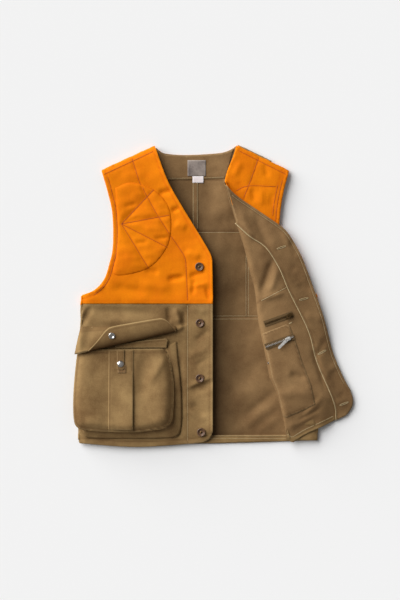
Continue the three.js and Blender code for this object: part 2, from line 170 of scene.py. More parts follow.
# soft ridge, or valley where the height is negative, tapering to both ends
def crease(P, a, b, width, height):
    a, b = np.array(a, float), np.array(b, float)
    ab = b - a
    length = np.hypot(*ab)
    t = (P - a) @ ab / length ** 2
    off = ((P - a) @ np.array([-ab[1], ab[0]])) / length
    taper = smooth(-0.12, 0.3, t) * smooth(1.12, 0.7, t)
    return height * taper * np.exp(-(off / width) ** 2)


def creases(P, folds):  # each fold has a start, an end, a width and a height
    return sum(crease(P, *fold) for fold in folds)


rippleReach, grooveWidth = 30.0, 1.7


# a row of stitching pulls the cloth into a groove and gathers it into short ripples beside it
def seam(line, depth=0.7, width=2.2, pucker=0.35, reach=13.0, ripple=9.0, seed=1):
    return {"line": smoothLine(line, 8.0), "depth": depth, "width": width, "pucker": pucker, "reach": reach,
            "ripple": ripple, "seed": seed}


# also gives a mask of painted shade along each seam's groove
def seamRelief(P, seams):
    z, groove_shade = np.zeros(len(P)), np.zeros(len(P))
    for s in seams:
        d, along, side = nearest(P, s["line"])
        ripples = noise(along, side * d, s["ripple"], rippleReach, s["seed"])
        z += -s["depth"] * np.exp(-(d / s["width"]) ** 2) + s["pucker"] * ripples * np.exp(-d / s["reach"])
        groove_shade = np.maximum(groove_shade, np.exp(-(d / grooveWidth) ** 2))
    return z, groove_shade


def meshObject(name, verts, faces, material, attributes=None):
    data = bpy.data.meshes.new(name)
    places = (np.asarray(verts, float) + patternShift) * mm
    data.from_pydata(places.tolist(), [], [list(map(int, f)) for f in faces])
    for key, values in (attributes or {}).items():
        data.attributes.new(key, "FLOAT", "POINT").data.foreach_set("value", np.asarray(values, np.float32))
    data.polygons.foreach_set("use_smooth", np.ones(len(data.polygons), bool))
    data.materials.append(material)
    obj = bpy.data.objects.new(name, data)
    scene.collection.objects.link(obj)
    return obj


def vertexNormals(verts, faces):
    f = np.asarray(faces)
    n = np.cross(verts[f[:, 1]] - verts[f[:, 0]], verts[f[:, 2]] - verts[f[:, 0]])
    total = np.zeros_like(verts)
    for k in range(f.shape[1]):
        np.add.at(total, f[:, k], n)
    return total / (np.linalg.norm(total, axis=1, keepdims=True) + 1e-12)


def rims(faces):  # edges that only one face uses, in that face's direction
    f = np.asarray(faces)
    k = f.shape[1]
    e = np.vstack([f[:, [i, (i + 1) % k]] for i in range(k)])
    key = np.sort(e, axis=1)
    _, first, count = np.unique(key, axis=0, return_index=True, return_counts=True)
    return e[first[count == 1]]


def closedSkin(faces, n):  # an upper face, the same face n points later below it, and the wall between them
    f = np.asarray(faces)
    wall = [[b, a, a + n, b + n] for a, b in rims(f)]
    return [*f.tolist(), *(f[:, ::-1] + n).tolist(), *wall]


def gridFaces(rows, columns):  # triangles over a grid of points that runs row by row
    a = (np.arange(rows - 1)[:, None] * columns + np.arange(columns - 1)).reshape(-1, 1)
    pairs = [a + [0, columns, columns + 1], a + [0, columns + 1, 1]]
    return np.stack(pairs, axis=1).reshape(-1, 3)


def tubeFaces(rings, around):  # quads along a tube of rings, and a face over each end
    faces = []
    for i in range(rings - 1):
        for k in range(around):
            a, b = i * around + k, i * around + (k + 1) % around
            faces.append([a, b, b + around, a + around])
    return faces + [list(range(around))[::-1], [(rings - 1) * around + k for k in range(around)]]


# closed sheet of the given thickness under its top face
def clothBody(name, top, faces, thick, material, attributes=None):
    normals = vertexNormals(top, faces)
    bottom = top - normals * thick
    edgePoints = np.unique(rims(faces))
    rounding = normals[edgePoints] * thick * 0.25  # the folded edge is a little rounded
    top = top.copy()
    top[edgePoints] -= rounding
    bottom[edgePoints] += rounding
    both = {key: np.r_[values, values] for key, values in (attributes or {}).items()}
    return meshObject(name, np.vstack([top, bottom]), closedSkin(faces, len(top)), material, both)


def flatMesh(ring, pitch):  # even triangles inside a ring
    low, high = ring.min(0), ring.max(0)
    rowStep, edgeRoom = pitch * 0.866, pitch * 0.45  # an even triangle's height, and the gap to the ring
    rows = []
    for k, y in enumerate(np.arange(low[1], high[1], rowStep)):
        x = np.arange(low[0] + (k % 2) * pitch / 2, high[0], pitch)
        rows.append(np.column_stack([x, np.full(len(x), y)]))
    grid = np.vstack(rows)
    grid = grid[inside(grid, ring)]
    closed = np.vstack([ring, ring[:1]])
    grid = grid[nearest(grid, closed)[0] > edgeRoom]
    points = [Vector(p) for p in np.vstack([ring, grid])]
    made = delaunay_2d_cdt(points, [], [list(range(len(ring)))], 1, 1e-4)
    P = np.array([tuple(p) for p in made[0]])
    faces = np.array([f for f in made[2] if len(f) == 3])
    a, b, c = (P[faces[:, k]] for k in range(3))
    turn = (b[:, 0] - a[:, 0]) * (c[:, 1] - a[:, 1]) - (b[:, 1] - a[:, 1]) * (c[:, 0] - a[:, 0])
    faces[turn < 0] = faces[turn < 0][:, ::-1]
    return P, faces


# body is a name, or (body, body, start, end) where the cloth crosses a fold; such cloth is baked where it lies
# and joins no body
def place(obj, body, replaces=()):
    if isinstance(body, str):
        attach(obj, body)
    else:
        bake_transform(obj)
    if replaces:
        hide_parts(*replaces)
    return obj


def clip(ring, a, b):  # the part of a ring to the left of the line from a to b
    a, b = np.array(a, float), np.array(b, float)
    normal = np.array([a[1] - b[1], b[0] - a[0]])
    side = (ring - a) @ normal
    kept = []
    for p, q, u, v in zip(ring, np.roll(ring, -1, axis=0), side, np.roll(side, -1)):
        if u >= 0:
            kept.append(p)
        if (u > 0) != (v > 0):
            kept.append(p + (q - p) * u / (u - v))
    return np.array(kept)


def evenly(ring, pitch):  # the same ring with its long stretches divided
    made = []
    for p, q in zip(ring, np.roll(ring, -1, axis=0)):
        gap = np.hypot(*(q - p))
        if gap < pitch * 0.25:
            continue
        count = max(1, int(round(gap / pitch)))
        made += [p + (q - p) * k / count for k in range(count)]
    return np.array(made)


surfaces = {}


def heightOn(name, lift=0.0):  # height of a cloth's upper face at any point
    points, heights, tree = surfaces[name]

    def look(P):
        found = np.empty(len(P))
        for k, (x, y) in enumerate(P):
            near = tree.find_n((x, y, 0), 3)
            weight = [1 / (d + 0.05) ** 2 for _, _, d in near]
            found[k] = sum(w * heights[i] for w, (_, i, _) in zip(weight, near)) / sum(weight)
        return found + lift

    return look


def keepSurface(name, top):
    tree = KDTree(len(top))
    for k, (x, y, _) in enumerate(top):
        tree.insert((x, y, 0), k)
    tree.balance()
    surfaces[name] = (top[:, :2], top[:, 2], tree)


rubWidth = 1.6  # how far a worn edge reaches in


def layCloth(name, ring, height, material, body, replaces=(), seams=(), thick=1.2, pitch=4.5,
             wrap=None, shade=None):
    ring = evenly(ring, pitch)
    P, faces = flatMesh(ring, pitch)
    relief, groove_shade = seamRelief(P, seams)
    edge = nearest(P, np.vstack([ring, ring[:1]]))[0]
    z = height(P) + relief
    if wrap:  # turns round the fold of the left front
        P, z, groove_shade = wrap(P, z, groove_shade)
        if wrap.under:
            faces = faces[:, ::-1]
    top = np.column_stack([P, z])
    keepSurface(name, top)
    # the first mark is painted shade along seam grooves, rub pales worn edges, and shade() adds painted shade by
    # position
    marks = {"groove_shade": groove_shade, "rub": np.exp(-(edge / rubWidth) ** 2) * 0.5}
    if shade:
        marks["painted_opening_shade"] = shade(P)
    obj = clothBody(name, top, faces, thick, material, marks)
    place(obj, body, replaces)
    return obj


def linear(code):  # sRGB hex to the linear colour that the shader takes
    parts = [int(code[i:i + 2], 16) / 255 for i in (0, 2, 4)]
    return tuple(c / 12.92 if c <= 0.04045 else ((c + 0.055) / 1.055) ** 2.4 for c in parts) + (1.0,)


def addNode(tree, kind, settings=None, **sockets):
    node = tree.nodes.new(kind)
    for key, value in (settings or {}).items():
        setattr(node, key, value)
    for key, value in sockets.items():
        numbered = key[0] == "i" and key[1:].isdigit()
        socket = node.inputs[int(key[1:]) if numbered else key.replace("_", " ")]
        if isinstance(value, bpy.types.NodeSocket):
            tree.links.new(value, socket)
        else:
            socket.default_value = value
    return node


def newMaterial(name):
    material = bpy.data.materials.new(name)
    material.use_nodes = True
    tree = material.node_tree
    tree.nodes.clear()
    output = tree.nodes.new("ShaderNodeOutputMaterial")
    return material, tree, output


def calculate(tree, operation, *values):
    sockets = {f"i{k}": value for k, value in enumerate(values)}
    return addNode(tree, "ShaderNodeMath", {"operation": operation}, **sockets).outputs[0]


def mixColours(tree, factor, first, second):
    return addNode(tree, "ShaderNodeMix", {"data_type": "RGBA"}, Factor=factor, i6=first, i7=second).outputs[2]


def attribute(tree, name):  # a value kept on the mesh's points
    return addNode(tree, "ShaderNodeAttribute", {"attribute_name": name}).outputs["Fac"]


# the groove value sets how far painted shade darkens seam grooves and creases; deepShade is the colour of the
# painted shade in the opening
clothFinish = {"slubScale": 420.0, "fadeScale": 13.0, "wear": 0.6, "grooveShade": 0.55, "deepShade": "241608",
               "roughness": 0.86, "sheenRoughness": 0.5, "specular": 0.12, "bump": 0.5, "bumpHeight": 0.0003}


def wovenCloth(name, base, dark, light, threadMm, turn=0.0, sheen=0.25, mottle=0.5):
    look = clothFinish
    material, tree, output = newMaterial(name)
    where = addNode(tree, "ShaderNodeTexCoord").outputs["Object"]
    turned = addNode(tree, "ShaderNodeMapping", Vector=where,
                     Rotation=(0, 0, math.radians(turn))).outputs["Vector"]
    waveScale = 2 * math.pi / 20 / (threadMm * mm)  # one band for each thread

    def threads(direction, scale, distortion):
        return addNode(tree, "ShaderNodeTexWave", {"bands_direction": direction}, Vector=turned, Scale=scale,
                       Distortion=distortion, Detail=1.0).outputs["Fac"]

    def cloudy(scale, detail):
        return addNode(tree, "ShaderNodeTexNoise", Vector=where, Scale=scale, Detail=detail,
                       Roughness=0.6).outputs["Fac"]

    weave = calculate(tree, "MULTIPLY", threads("X", waveScale, 0.6), threads("DIAGONAL", waveScale * 0.7, 0.8))
    slub = cloudy(look["slubScale"], 3.0)  # thick and thin yarn
    fade = cloudy(look["fadeScale"], 4.0)  # wax worn thin in patches
    tone = addNode(tree, "ShaderNodeMapRange", Value=fade, i1=0.3, i2=0.7, i3=0.5 - mottle / 2,
                   i4=0.5 + mottle / 2).outputs[0]
    shift = calculate(tree, "SUBTRACT", calculate(tree, "MULTIPLY_ADD", slub, 0.5, tone), 0.25)
    colour = mixColours(tree, shift, linear(dark), linear(base))
    # painted shade in seam grooves and creases
    paintedShade = calculate(tree, "MULTIPLY", attribute(tree, "groove_shade"), look["grooveShade"])
    colour = mixColours(tree, paintedShade, colour, linear(dark))
    worn = calculate(tree, "MULTIPLY", attribute(tree, "rub"), look["wear"])
    colour = mixColours(tree, worn, colour, linear(light))
    # painted shade on the lining inside the opening, beside the front's edge
    colour = mixColours(tree, attribute(tree, "painted_opening_shade"), colour, linear(look["deepShade"]))
    relief = calculate(tree, "MULTIPLY_ADD", slub, 0.7, weave)
    bump = addNode(tree, "ShaderNodeBump", Height=relief, Strength=look["bump"],
                   Distance=look["bumpHeight"]).outputs["Normal"]
    shader = addNode(tree, "ShaderNodeBsdfPrincipled", Base_Color=colour, Normal=bump,
                     Roughness=look["roughness"],
                     Sheen_Weight=sheen, Sheen_Roughness=look["sheenRoughness"],
                     Specular_IOR_Level=look["specular"])
    tree.links.new(shader.outputs[0], output.inputs["Surface"])
    return material


def solidFinish(name, base, dark, roughness, metallic=0.0, grainScale=300.0):
    material, tree, output = newMaterial(name)
    where = addNode(tree, "ShaderNodeTexCoord").outputs["Object"]
    grain = addNode(tree, "ShaderNodeTexNoise", Vector=where, Scale=grainScale, Detail=4.0).outputs["Fac"]
    colour = mixColours(tree, grain, linear(dark), linear(base))
    rough = addNode(tree, "ShaderNodeMapRange", Value=grain, i3=roughness * 0.8, i4=roughness * 1.2).outputs[0]
    bump = addNode(tree, "ShaderNodeBump", Height=grain, Strength=0.4, Distance=0.0001).outputs["Normal"]
    shader = addNode(tree, "ShaderNodeBsdfPrincipled", Base_Color=colour, Normal=bump, Roughness=rough,
                     Metallic=metallic)
    tree.links.new(shader.outputs[0], output.inputs["Surface"])
    return material


# real yarns are about 0.5 mm apart, too fine to show, so the weave is drawn three times coarser
# piece dyed to one flat bright orange, with a fine diagonal and no shine
blazeTwill = wovenCloth("blaze cotton twill", "f28c00", "cc5c00", "ff9c10", 1.5, turn=45, sheen=0.0, mottle=0.3)
# the wax leaves it dull and patchy and paler where the edges rub; its seams get painted shade in their grooves
tanCanvas = wovenCloth("tan waxed canvas", "a58759", "5e4226", "c0a474", 1.6, sheen=0.0, mottle=0.62)
# the same canvas from behind, where less wax reached: a little greyer and evener
tanLining = wovenCloth("tan canvas, inner face", "9a7a52", "5c4026", "b49a70", 1.6, turn=14, sheen=0.0,
                       mottle=0.5)
# spun filament, which stays pale and slightly glossy against dull cloth
paleThread = solidFinish("ecru polyester thread", "c9b48a", "a08a60", 0.6)
blazeThread = solidFinish("rust polyester thread", "b04c04", "8a3a04", 0.6)
# cast with streaks of two browns and polished, so it has a soft highlight
hornResin = solidFinish("brown horn resin, moulded", "7c5c42", "38241a", 0.3, grainScale=420.0)
# plated and polished, a bright clear highlight
nickelPlate = solidFinish("nickel plated brass, polished", "eceae6", "c2beb8", 0.24, metallic=1.0)
# tumbled after plating, bright all over with no sharp reflection
satinNickel = solidFinish("nickel plated zinc, tumbled", "f4f2ee", "cfcbc4", 0.5, metallic=1.0)
# darkened in a bath and tumbled, so only the high spots stay yellow
agedBrass = solidFinish("antiqued brass, tumbled", "8a6c44", "3e2d1a", 0.38, metallic=1.0)
# narrow and tightly woven, darker than the canvas
tapeTwill = wovenCloth("brown zip tape, woven", "6e5636", "47361e", "8a7048", 1.2)
# two yarns woven against each other, which gives a blotchy grey
labelWeave = wovenCloth("jacquard label, damask woven", "a0938a", "4a403e", "cfc2b6", 1.1, mottle=1.6)
# long floats on one side, smooth and nearly white
labelSatin = wovenCloth("white satin ribbon", "efe9e6", "d9c6c8", "ffffff", 0.9, mottle=0.4)
print("materials made")

collarRight, shoulderRight, armpitRight = (-129, 330), (-246, 276), (-289, 3)
collarLeft, shoulderLeft, armpitLeft = (50, 331), (166, 275), (226, 6)
foldTop, foldFoot = (23, 248), (162, -314)
armholeRight = [shoulderRight, (-233, 232), (-222, 180), (-221, 109), (-229, 70), (-240, 38), (-262, 14),
                armpitRight]
armholeLeft = [armpitLeft, (197, 11), (172, 24), (157, 48), (145, 88), (143, 130), (147, 190), (155, 235),
               shoulderLeft]
sideRight = [armpitRight, (-290, -60), (-294, -200), (-296, -318)]
sideLeft = [(228, -316), (231, -228), (230, -120), armpitLeft]
frontEdge = [(-2, -296), (-2, -8), (-3, 78)]
necklineRight = [(-3, 78), (-8, 95), (-30, 133), (-68, 195), (-101, 254), collarRight]
rightHem = [(-294, -322), (-170, -330), (-52, -323), (-24, -320), (-9, -312), (-2, -296)]
backNeck = [collarLeft, (36, 322), (10, 315), (-60, 311), (-105, 314), (-120, 321), collarRight]
backHem = [(-296, -318), (-170, -324), (0, -323), (228, -316)]
turnedEdge = [foldTop, (47, 223), (98, 188), (146, 155), (163, 139), (179, 113), (197, 78), (223, 7),
              (243, -50),
              (262, -122), (284, -175), (301, -206)]
turnedHem = [(301, -206), (306, -224), (304, -243), (291, -261), (267, -272), (206, -300), (185, -312),
             (172, -320),
             foldFoot]
facingSeam = [(47, 160), (78, 131), (113, 107), (142, 63), (164, 12), (206, -74), (226, -144), (263, -232),
              (269, -272)]
foldCurve = [(23, 247), (37, 201), (50, 157), (67, 104), (76, 63), (88, 21), (93, -17), (98, -60), (109, -111),
             (116, -146), (122, -177), (135, -206), (149, -254), (157, -291), (162, -311)]
pocketFrontLine = [(-104, -114), (-93, -150), (-88, -193), (-89, -240), (-93, -270), (-106, -284), (-133, -290),
                   (-173, -295), (-226, -294), (-270, -291), (-297, -284), (-305, -262), (-306, -215),
                   (-303, -165),
                   (-298, -116)]
pocketFootLine = [(-81, -98), (-78, -140), (-72, -193), (-70, -240), (-71, -285), (-80, -306), (-110, -310),
                  (-173, -311), (-226, -311), (-262, -310), (-281, -306), (-287, -285), (-287, -215),
                  (-286, -165),
                  (-285, -112)]
padLine = [(-216, 238), (-180, 250), (-131, 234), (-100, 200), (-92, 157), (-102, 107), (-144, 61), (-216, 47),
           (-214, 90), (-211, 140), (-213, 190)]
princessLine = [(-179, 303), (-162, 248), (-146, 219), (-120, 173), (-94, 133), (-76, 107), (-63, 85),
                (-60, 56),
                (-57, -6)]
yokeY, pouchY, crossY = -16, -45, 143  # seams across the body
turnedYokeSeam = ((88, -17), (230, 58))

frontTop = nodeTop("right_front")
liningTop = nodeTop("game_pouch")
trimTop = nodeTop("neck_facing")
turnedTop = nodeTop("left_front_lining")
backTop = nodeTop("back_body")
layerStep = 1.5  # cloth and the air under it

fold = {"radius": 12.2, "height": frontTop + 9.55}  # outer radius of the turn, and the height of its middle
shoulders = ((collarRight, shoulderRight), (collarLeft, shoulderLeft))
closedSeams = [smoothLine(r, 12) for r in (sideRight, sideLeft, *shoulders)]
foldSilhouette = smoothLine(foldCurve, 6)


def alongside(line, by):  # the line moved to its left
    return line + leftOf(headings(line)) * by


def foldBorder(radius):  # where flat cloth ends that is to reach the fold's silhouette
    # the line runs down, so its left is the side of the turned cloth
    return alongside(foldSilhouette, fold["radius"] - radius - (math.pi / 2 - 1) * radius)


def aroundFold(radius, under):  # bends cloth a quarter turn up to the fold's silhouette
    border = foldBorder(radius)
    ahead = headings(border)
    stretch = np.r_[0, np.cumsum(np.linalg.norm(np.diff(border, axis=0), axis=1))]
    quarter = math.pi / 2 * radius

    def wrap(P, z, groove_shade):
        d, along, _ = nearest(P, border)
        s = np.minimum(d, quarter)
        inward = np.column_stack([-np.interp(along, stretch, ahead[:, 1]),
                                  np.interp(along, stretch, ahead[:, 0])])
        move = quarter - radius * np.cos(s / radius) - s
        z = fold["height"] + (z - fold["height"]) * np.sin(s / radius)
        return P + inward * move[:, None], z, groove_shade

    wrap.under = under
    return wrap


def pinch(P):  # 1 at the seams that join front and back, falling off beside them
    d = np.min([nearest(P, line)[0] for line in closedSeams], axis=0)
    return np.exp(-(d / 8.0) ** 2)


backOuter = {"pinch": 3.6, "hem": 1.2, "calm": 0.9, "waves": [(0.9, 90, 60, 3)]}


def backOuterHeight(P):
    look = backOuter
    wave = look["calm"] + waves(P, look["waves"])
    return backTop + look["pinch"] * pinch(P) + wave * smooth(-270, -318, P[:, 1]) * look["hem"]


backLining = {"pinch": 1.7, "slump": 5.0, "foldGain": 0.85, "underFront": 0.3, "calm": 1.4,
              "waves": [(1.2, 60, 70, 5), (0.6, 24, 28, 6), (0.25, 11, 12, 7)]}
backLining["folds"] = [
    ((-38, 250), (-22, 222), 9, 3.4), ((-12, 246), (4, 212), 9, -2.4), ((6, 236), (40, 214), 12, 3.2),
    ((-6, 196), (44, 182), 16, 2.8), ((10, 170), (44, 160), 10, -1.6), ((6, 118), (64, 100), 18, 3.2),
    ((-4, 80), (60, 62), 16, 2.4), ((16, 30), (66, 48), 14, 2.0), ((30, -104), (108, -92), 26, 3.0),
    ((20, -160), (112, -128), 20, 2.2), ((40, -240), (122, -168), 24, 4.4), ((70, -262), (138, -206), 9, -3.0),
    ((54, -296), (140, -232), 12, 4.0), ((100, -296), (148, -262), 9, 2.6), ((-90, 230), (-70, 180), 12, 1.5),
]


def backLiningHeight(P):
    look = backLining
    x, y = P.T
    past = x - 0.25 * np.maximum(y - 60, 0)  # how far the point is beyond the front's edge
    seen = smooth(-60, 0, past)
    # held up under the front's edge, and falls away from it
    slump = look["slump"] * (1 - smooth(-10, 62, past)) * smooth(-64, -16, past)
    relief = look["foldGain"] * creases(P, look["folds"]) + look["calm"] + waves(P, look["waves"])
    relief = relief * (look["underFront"] + (1 - look["underFront"]) * seen)
    relief = relief + slump * smooth(-318, -280, y) * smooth(316, 280, y)
    return liningTop + look["pinch"] * pinch(P) + relief * smooth(-300, -250, x) + 0.8 * smooth(-290, -318, y)


centreEdge = smoothLine([(-2, -300), (-2, -8), (-3, 78), (-8, 95), (-30, 133), (-68, 195), (-101, 254),
                         (-125, 322)], 8)
rightFront = {"rise": 12.0, "riseWidth": 28, "foldGain": 1.85, "pinch": 3.7, "clearance": 3.2,
              "clearInside": 1.4,
              "flattened": 0.8, "waves": [(1.5, 90, 60, 11), (0.7, 34, 24, 12), (0.28, 14, 11, 13)]}
rightFront["folds"] = [
    ((-289, -60), (-269, -24), 6, -3.6), ((-292, -58), (-284, -28), 5, 2.4),
    ((-272, -29), (-132, -36), 9, -2.2),
    ((-250, -52), (-150, -56), 9, 1.8), ((-100, -24), (-96, -58), 5, -2.4), ((-84, -26), (-74, -60), 6, 3.4),
    ((-66, -34), (-64, -72), 4.5, -3.6), ((-84, -74), (-58, -62), 4.5, 3.2), ((-50, -24), (-14, -34), 8, 1.8),
    ((-56, -200), (-4, -176), 6, 2.6), ((-50, -214), (-6, -196), 6, -1.8), ((-54, -130), (-12, -112), 8, 1.6),
    ((-56, -250), (-16, -268), 8, 1.8), ((-74, -110), (-68, -280), 7, -1.6), ((-40, -150), (-8, -136), 6, -1.4),
    ((-100, 38), (-64, 43), 6, -3.2), ((-52, 44), (-20, 52), 6, -2.4), ((-50, 22), (-12, 30), 6, 2.0),
    ((-42, 36), (-46, 4), 5, -2.2), ((-16, 20), (-8, -8), 5, -2.4), ((-60, 98), (-30, 86), 8, 1.8),
    ((-120, 227), (-92, 230), 6, -2.6), ((-92, 188), (-74, 192), 5, -2.4), ((-84, 160), (-60, 150), 9, 1.8),
    ((-270, 20), (-246, 30), 4, -2.4), ((-262, 10), (-240, 24), 4, 1.8), ((-160, 30), (-96, 18), 12, 2.0),
    ((-56, -206), (-2, -184), 7, -3.0), ((-50, -236), (-18, -262), 9, -2.4), ((-42, -98), (-6, -72), 7, -1.8),
    ((-220, 22), (-150, 8), 10, -1.8), ((-200, 268), (-150, 262), 10, 1.2), ((-150, 58), (-120, 52), 7, -1.8),
]


def frontHeight(P):
    look = rightFront
    away = nearest(P, centreEdge)[0]
    rise = look["rise"] * np.exp(-away / look["riseWidth"]) * smooth(-326, -285, P[:, 1])
    relief = rise + look["foldGain"] * creases(P, look["folds"]) + waves(P, look["waves"])
    underPocket = 1 - look["flattened"] * inside(P, pocketRing)
    joined = pinch(P)
    made = frontTop - look["pinch"] * joined + relief * underPocket
    floor = liningTop + look["clearance"] + look["clearInside"] * (1 - joined)  # never down to the back's lining
    return floor + 0.5 * (made - floor + np.sqrt((made - floor) ** 2 + 1.0))


leftSide = {"pinch": 3.7, "waves": [(1.0, 50, 60, 21), (0.4, 20, 20, 22)]}
leftSide["folds"] = [
    ((60, 296), (44, 262), 7, 2.4), ((112, 290), (118, 262), 6, -2.2), ((84, 236), (90, 206), 6, -2.4),
    ((104, 232), (106, 200), 6, 1.8), ((52, 250), (70, 236), 5, -1.8), ((128, 226), (126, 196), 6, -1.6),
]


def leftSideHeight(P):
    look = leftSide
    return frontTop - look["pinch"] * pinch(P) + creases(P, look["folds"]) + waves(P, look["waves"])


freeEdge = np.vstack([smoothLine(turnedEdge, 8)[:-1], smoothLine(turnedHem, 8)])
zipMiddles = np.array([[143, -99], [141, -49]], float)
turnedFront = {"foldGain": 1.6, "freeEdge": 16.5, "tipDrop": 9.5, "droopWidth": 82, "below": 0.5,
               "waves": [(1.1, 55, 60, 31), (0.5, 22, 24, 32), (0.2, 10, 10, 33)]}
turnedFront["folds"] = [
    ((88, 180), (122, 104), 10, -2.8), ((58, 190), (84, 120), 9, 2.0), ((130, 84), (102, 4), 8, -3.4),
    ((140, 60), (122, 6), 8, 2.6), ((104, -8), (152, 8), 6, 2.8), ((98, -46), (156, -8), 9, -4.0),
    ((172, -60), (166, -30), 6, -1.6), ((166, -168), (200, -178), 7, -2.8), ((140, -212), (216, -208), 13, 3.0),
    ((214, -108), (244, -204), 5, -2.6), ((150, 140), (168, 112), 6, 1.8), ((166, 124), (182, 92), 5, -1.6),
    ((176, 60), (206, 40), 9, 1.8), ((184, 24), (214, 16), 8, -1.6), ((200, -40), (240, -52), 10, 1.8),
    ((226, -130), (246, -90), 6, -1.8), ((244, -170), (270, -150), 8, 1.6), ((250, -230), (290, -214), 8, -1.4),
    ((158, -290), (224, -252), 8, 2.0), ((180, -274), (236, -242), 4, -1.8), ((196, -262), (238, -220), 6, 1.6),
]


def turnedHeight(P):
    look = turnedFront
    x, y = P.T
    d = nearest(P, freeEdge)[0]
    edgeZ = look["freeEdge"] - look["tipDrop"] * smooth(230, 268, x)
    droop = (turnedTop - edgeZ) * (1 - smooth(-6, look["droopWidth"], d)) * smooth(262, 200, y)
    nearZip = np.min([np.hypot(x - a, y - b) for a, b in zipMiddles], axis=0)
    relief = look["foldGain"] * creases(P, look["folds"]) + waves(P, look["waves"])
    return turnedTop - look["below"] - droop + relief * smooth(28, 60, nearZip)


pocketRing = outline([pocketFootLine, (pocketFootLine[-1], pocketFootLine[0])], 8)

backRing = outline([backNeck, armholeRight, sideRight, backHem, sideLeft, armholeLeft,
                    (shoulderLeft, collarLeft)], 5)
layCloth("back_yoke_blaze", clip(backRing, (-400, yokeY), (400, yokeY)), backOuterHeight, blazeTwill, "root",
         ["back_yoke"], seams=[seam([(-280, yokeY + 5), (240, yokeY + 5)])], pitch=7)
layCloth("back_canvas", clip(backRing, (400, yokeY + 7), (-400, yokeY + 7)),
         backOuterHeight, tanCanvas, "root", ["back_body"], pitch=7)

insideSeams = [
    seam([(-300, crossY), (150, crossY)], depth=0.9, pucker=0.7, reach=14, ripple=14, seed=41),
    seam([(-300, pouchY), (300, pouchY)], depth=1.0, pucker=0.8, reach=16, ripple=15, seed=42),
    seam([(74, 118), (74, pouchY)], depth=0.9, pucker=0.6, reach=12, ripple=12, seed=43),
    seam([(-86, 257), (16, 257)], depth=0.6, pucker=0.5, reach=9, ripple=9, seed=44),
    seam([(-280, -300), (220, -300)], depth=0.8, pucker=0.9, reach=14, ripple=12, seed=45),
]


opening = {"shade": 0.62, "reach": 118}  # painted shade beside the front's edge, and how far it goes


# painted shade on the lining inside the opening, darkest just past the front's edge, weaker towards the neck
def openingShade(P):
    x, y = P.T
    past = x - np.interp(y, centreEdge[:, 1], centreEdge[:, 0])
    paintedShade = smooth(-60, -4, past) * (1 - smooth(4, opening["reach"], past)) ** 1.5
    return opening["shade"] * paintedShade * (0.55 + 0.45 * smooth(120, 20, y))


layCloth("back_lining", backRing, backLiningHeight, tanLining, "root",
         ["back_lining_left", "back_lining_right", "back_lining_waist", "game_pouch"],
         seams=insideSeams, thick=1.0, shade=openingShade)


# flat strip or patch sewn onto another cloth
def trimStrip(name, ring, over, material, body, replaces=(), seams=(), lift=1.3, thick=1.0,
              pitch=3.5,
              wave=0.0):
    look = heightOn(over)

    def height(P):
        return look(P) + lift + wave * noise(P[:, 0], P[:, 1], 18, 14, len(name))

    layCloth(name, np.array(ring, float), height, material, body, replaces, seams, thick, pitch)


neckRing = [(-104, 256), (26, 259), (44, 324), (36, 319), (10, 313), (-60, 309), (-105, 312), (-121, 320),
            (-124, 322)]
trimStrip("neck_band", neckRing, "back_lining", tanLining, "root", ["neck_facing"],
          seams=[seam([(-104, 260), (26, 263)], depth=0.5, pucker=0.5)], wave=0.5)
hemRing = [(-280, -322), (-280, -304), (0, -305), (214, -304), (214, -316), (0, -322)]
trimStrip("back_hem_band", hemRing, "back_lining", tanCanvas, "root", ["back_hem"],
          seams=[seam([(-280, -307), (214, -307)], depth=0.5, pucker=0.5)], wave=0.5)
fellRing = [(-46, 256), (-46, 146), (-34, 146), (-34, 256)]
trimStrip("centre_back_fell", fellRing, "back_lining", tanLining, "root", ["centre_back_seam"],
          seams=[seam([(x, 256), (x, 145)], depth=0.5) for x in (-44.2, -35.8)], pitch=2.0)
labelRing = [(-57, 264.5), (-17, 264.5), (-17, 299.5), (-57, 299.5)]
trimStrip("neck_label_cloth", labelRing, "neck_band", labelWeave, "root", ["neck_label"],
          lift=1.2,
          thick=0.8, pitch=2.5, wave=0.35)
sizeRing = [(-46, 249.5), (-22, 249.5), (-22, 264), (-46, 264)]
trimStrip("size_label_cloth", sizeRing, "neck_band", labelSatin, "root", ["size_label"],
          lift=1.1,
          thick=0.6, pitch=2.0, wave=0.3)
print("back and labels made")

edgeFold = (np.array((-96.0, 245.0)), np.array((-59.0, -323.0)))
acrossEdge = np.array((0.998, 0.065))
edgeMiddle = (edgeFold[0] + edgeFold[1]) / 2
bend = {"before": 4, "after": 24, "height": 11.0}  # points just before and after the edge's fold line, at this height
overEdge = ("root", "right_edge", np.r_[edgeMiddle - acrossEdge * bend["before"], bend["height"]],
            np.r_[edgeMiddle + acrossEdge * bend["after"], bend["height"]])
rightRing = outline([necklineRight, shoulders[0], armholeRight, sideRight, [sideRight[-1], rightHem[0]],
                     rightHem,
                     frontEdge], 5)
armholeStitch = alongside(smoothLine(armholeRight, 6), 9.0)
neckStitch = alongside(centreEdge, 7.0)
rightLong = [
    seam(princessLine, depth=0.9, pucker=0.6, reach=14, ripple=13, seed=51),
    seam(armholeStitch, depth=0.7, pucker=0.45, reach=10, ripple=10, seed=52),
    seam(neckStitch, depth=0.5, pucker=0.35, reach=10, ripple=10, seed=53),
    seam([(-237, 267), (-133, 317)], depth=0.6, pucker=0.4, reach=10, ripple=9, seed=54),
    seam([(-290, yokeY + 5), (0, yokeY + 5)], depth=0.5, pucker=0.5, reach=14, ripple=16, seed=55),
]


def rightInsideHeight(P):  # sewn close at the edges and loose between them
    closed = np.vstack([rightRing, rightRing[:1]])
    return frontHeight(P) - layerStep - 1.5 * smooth(2, 14, nearest(P, closed)[0])


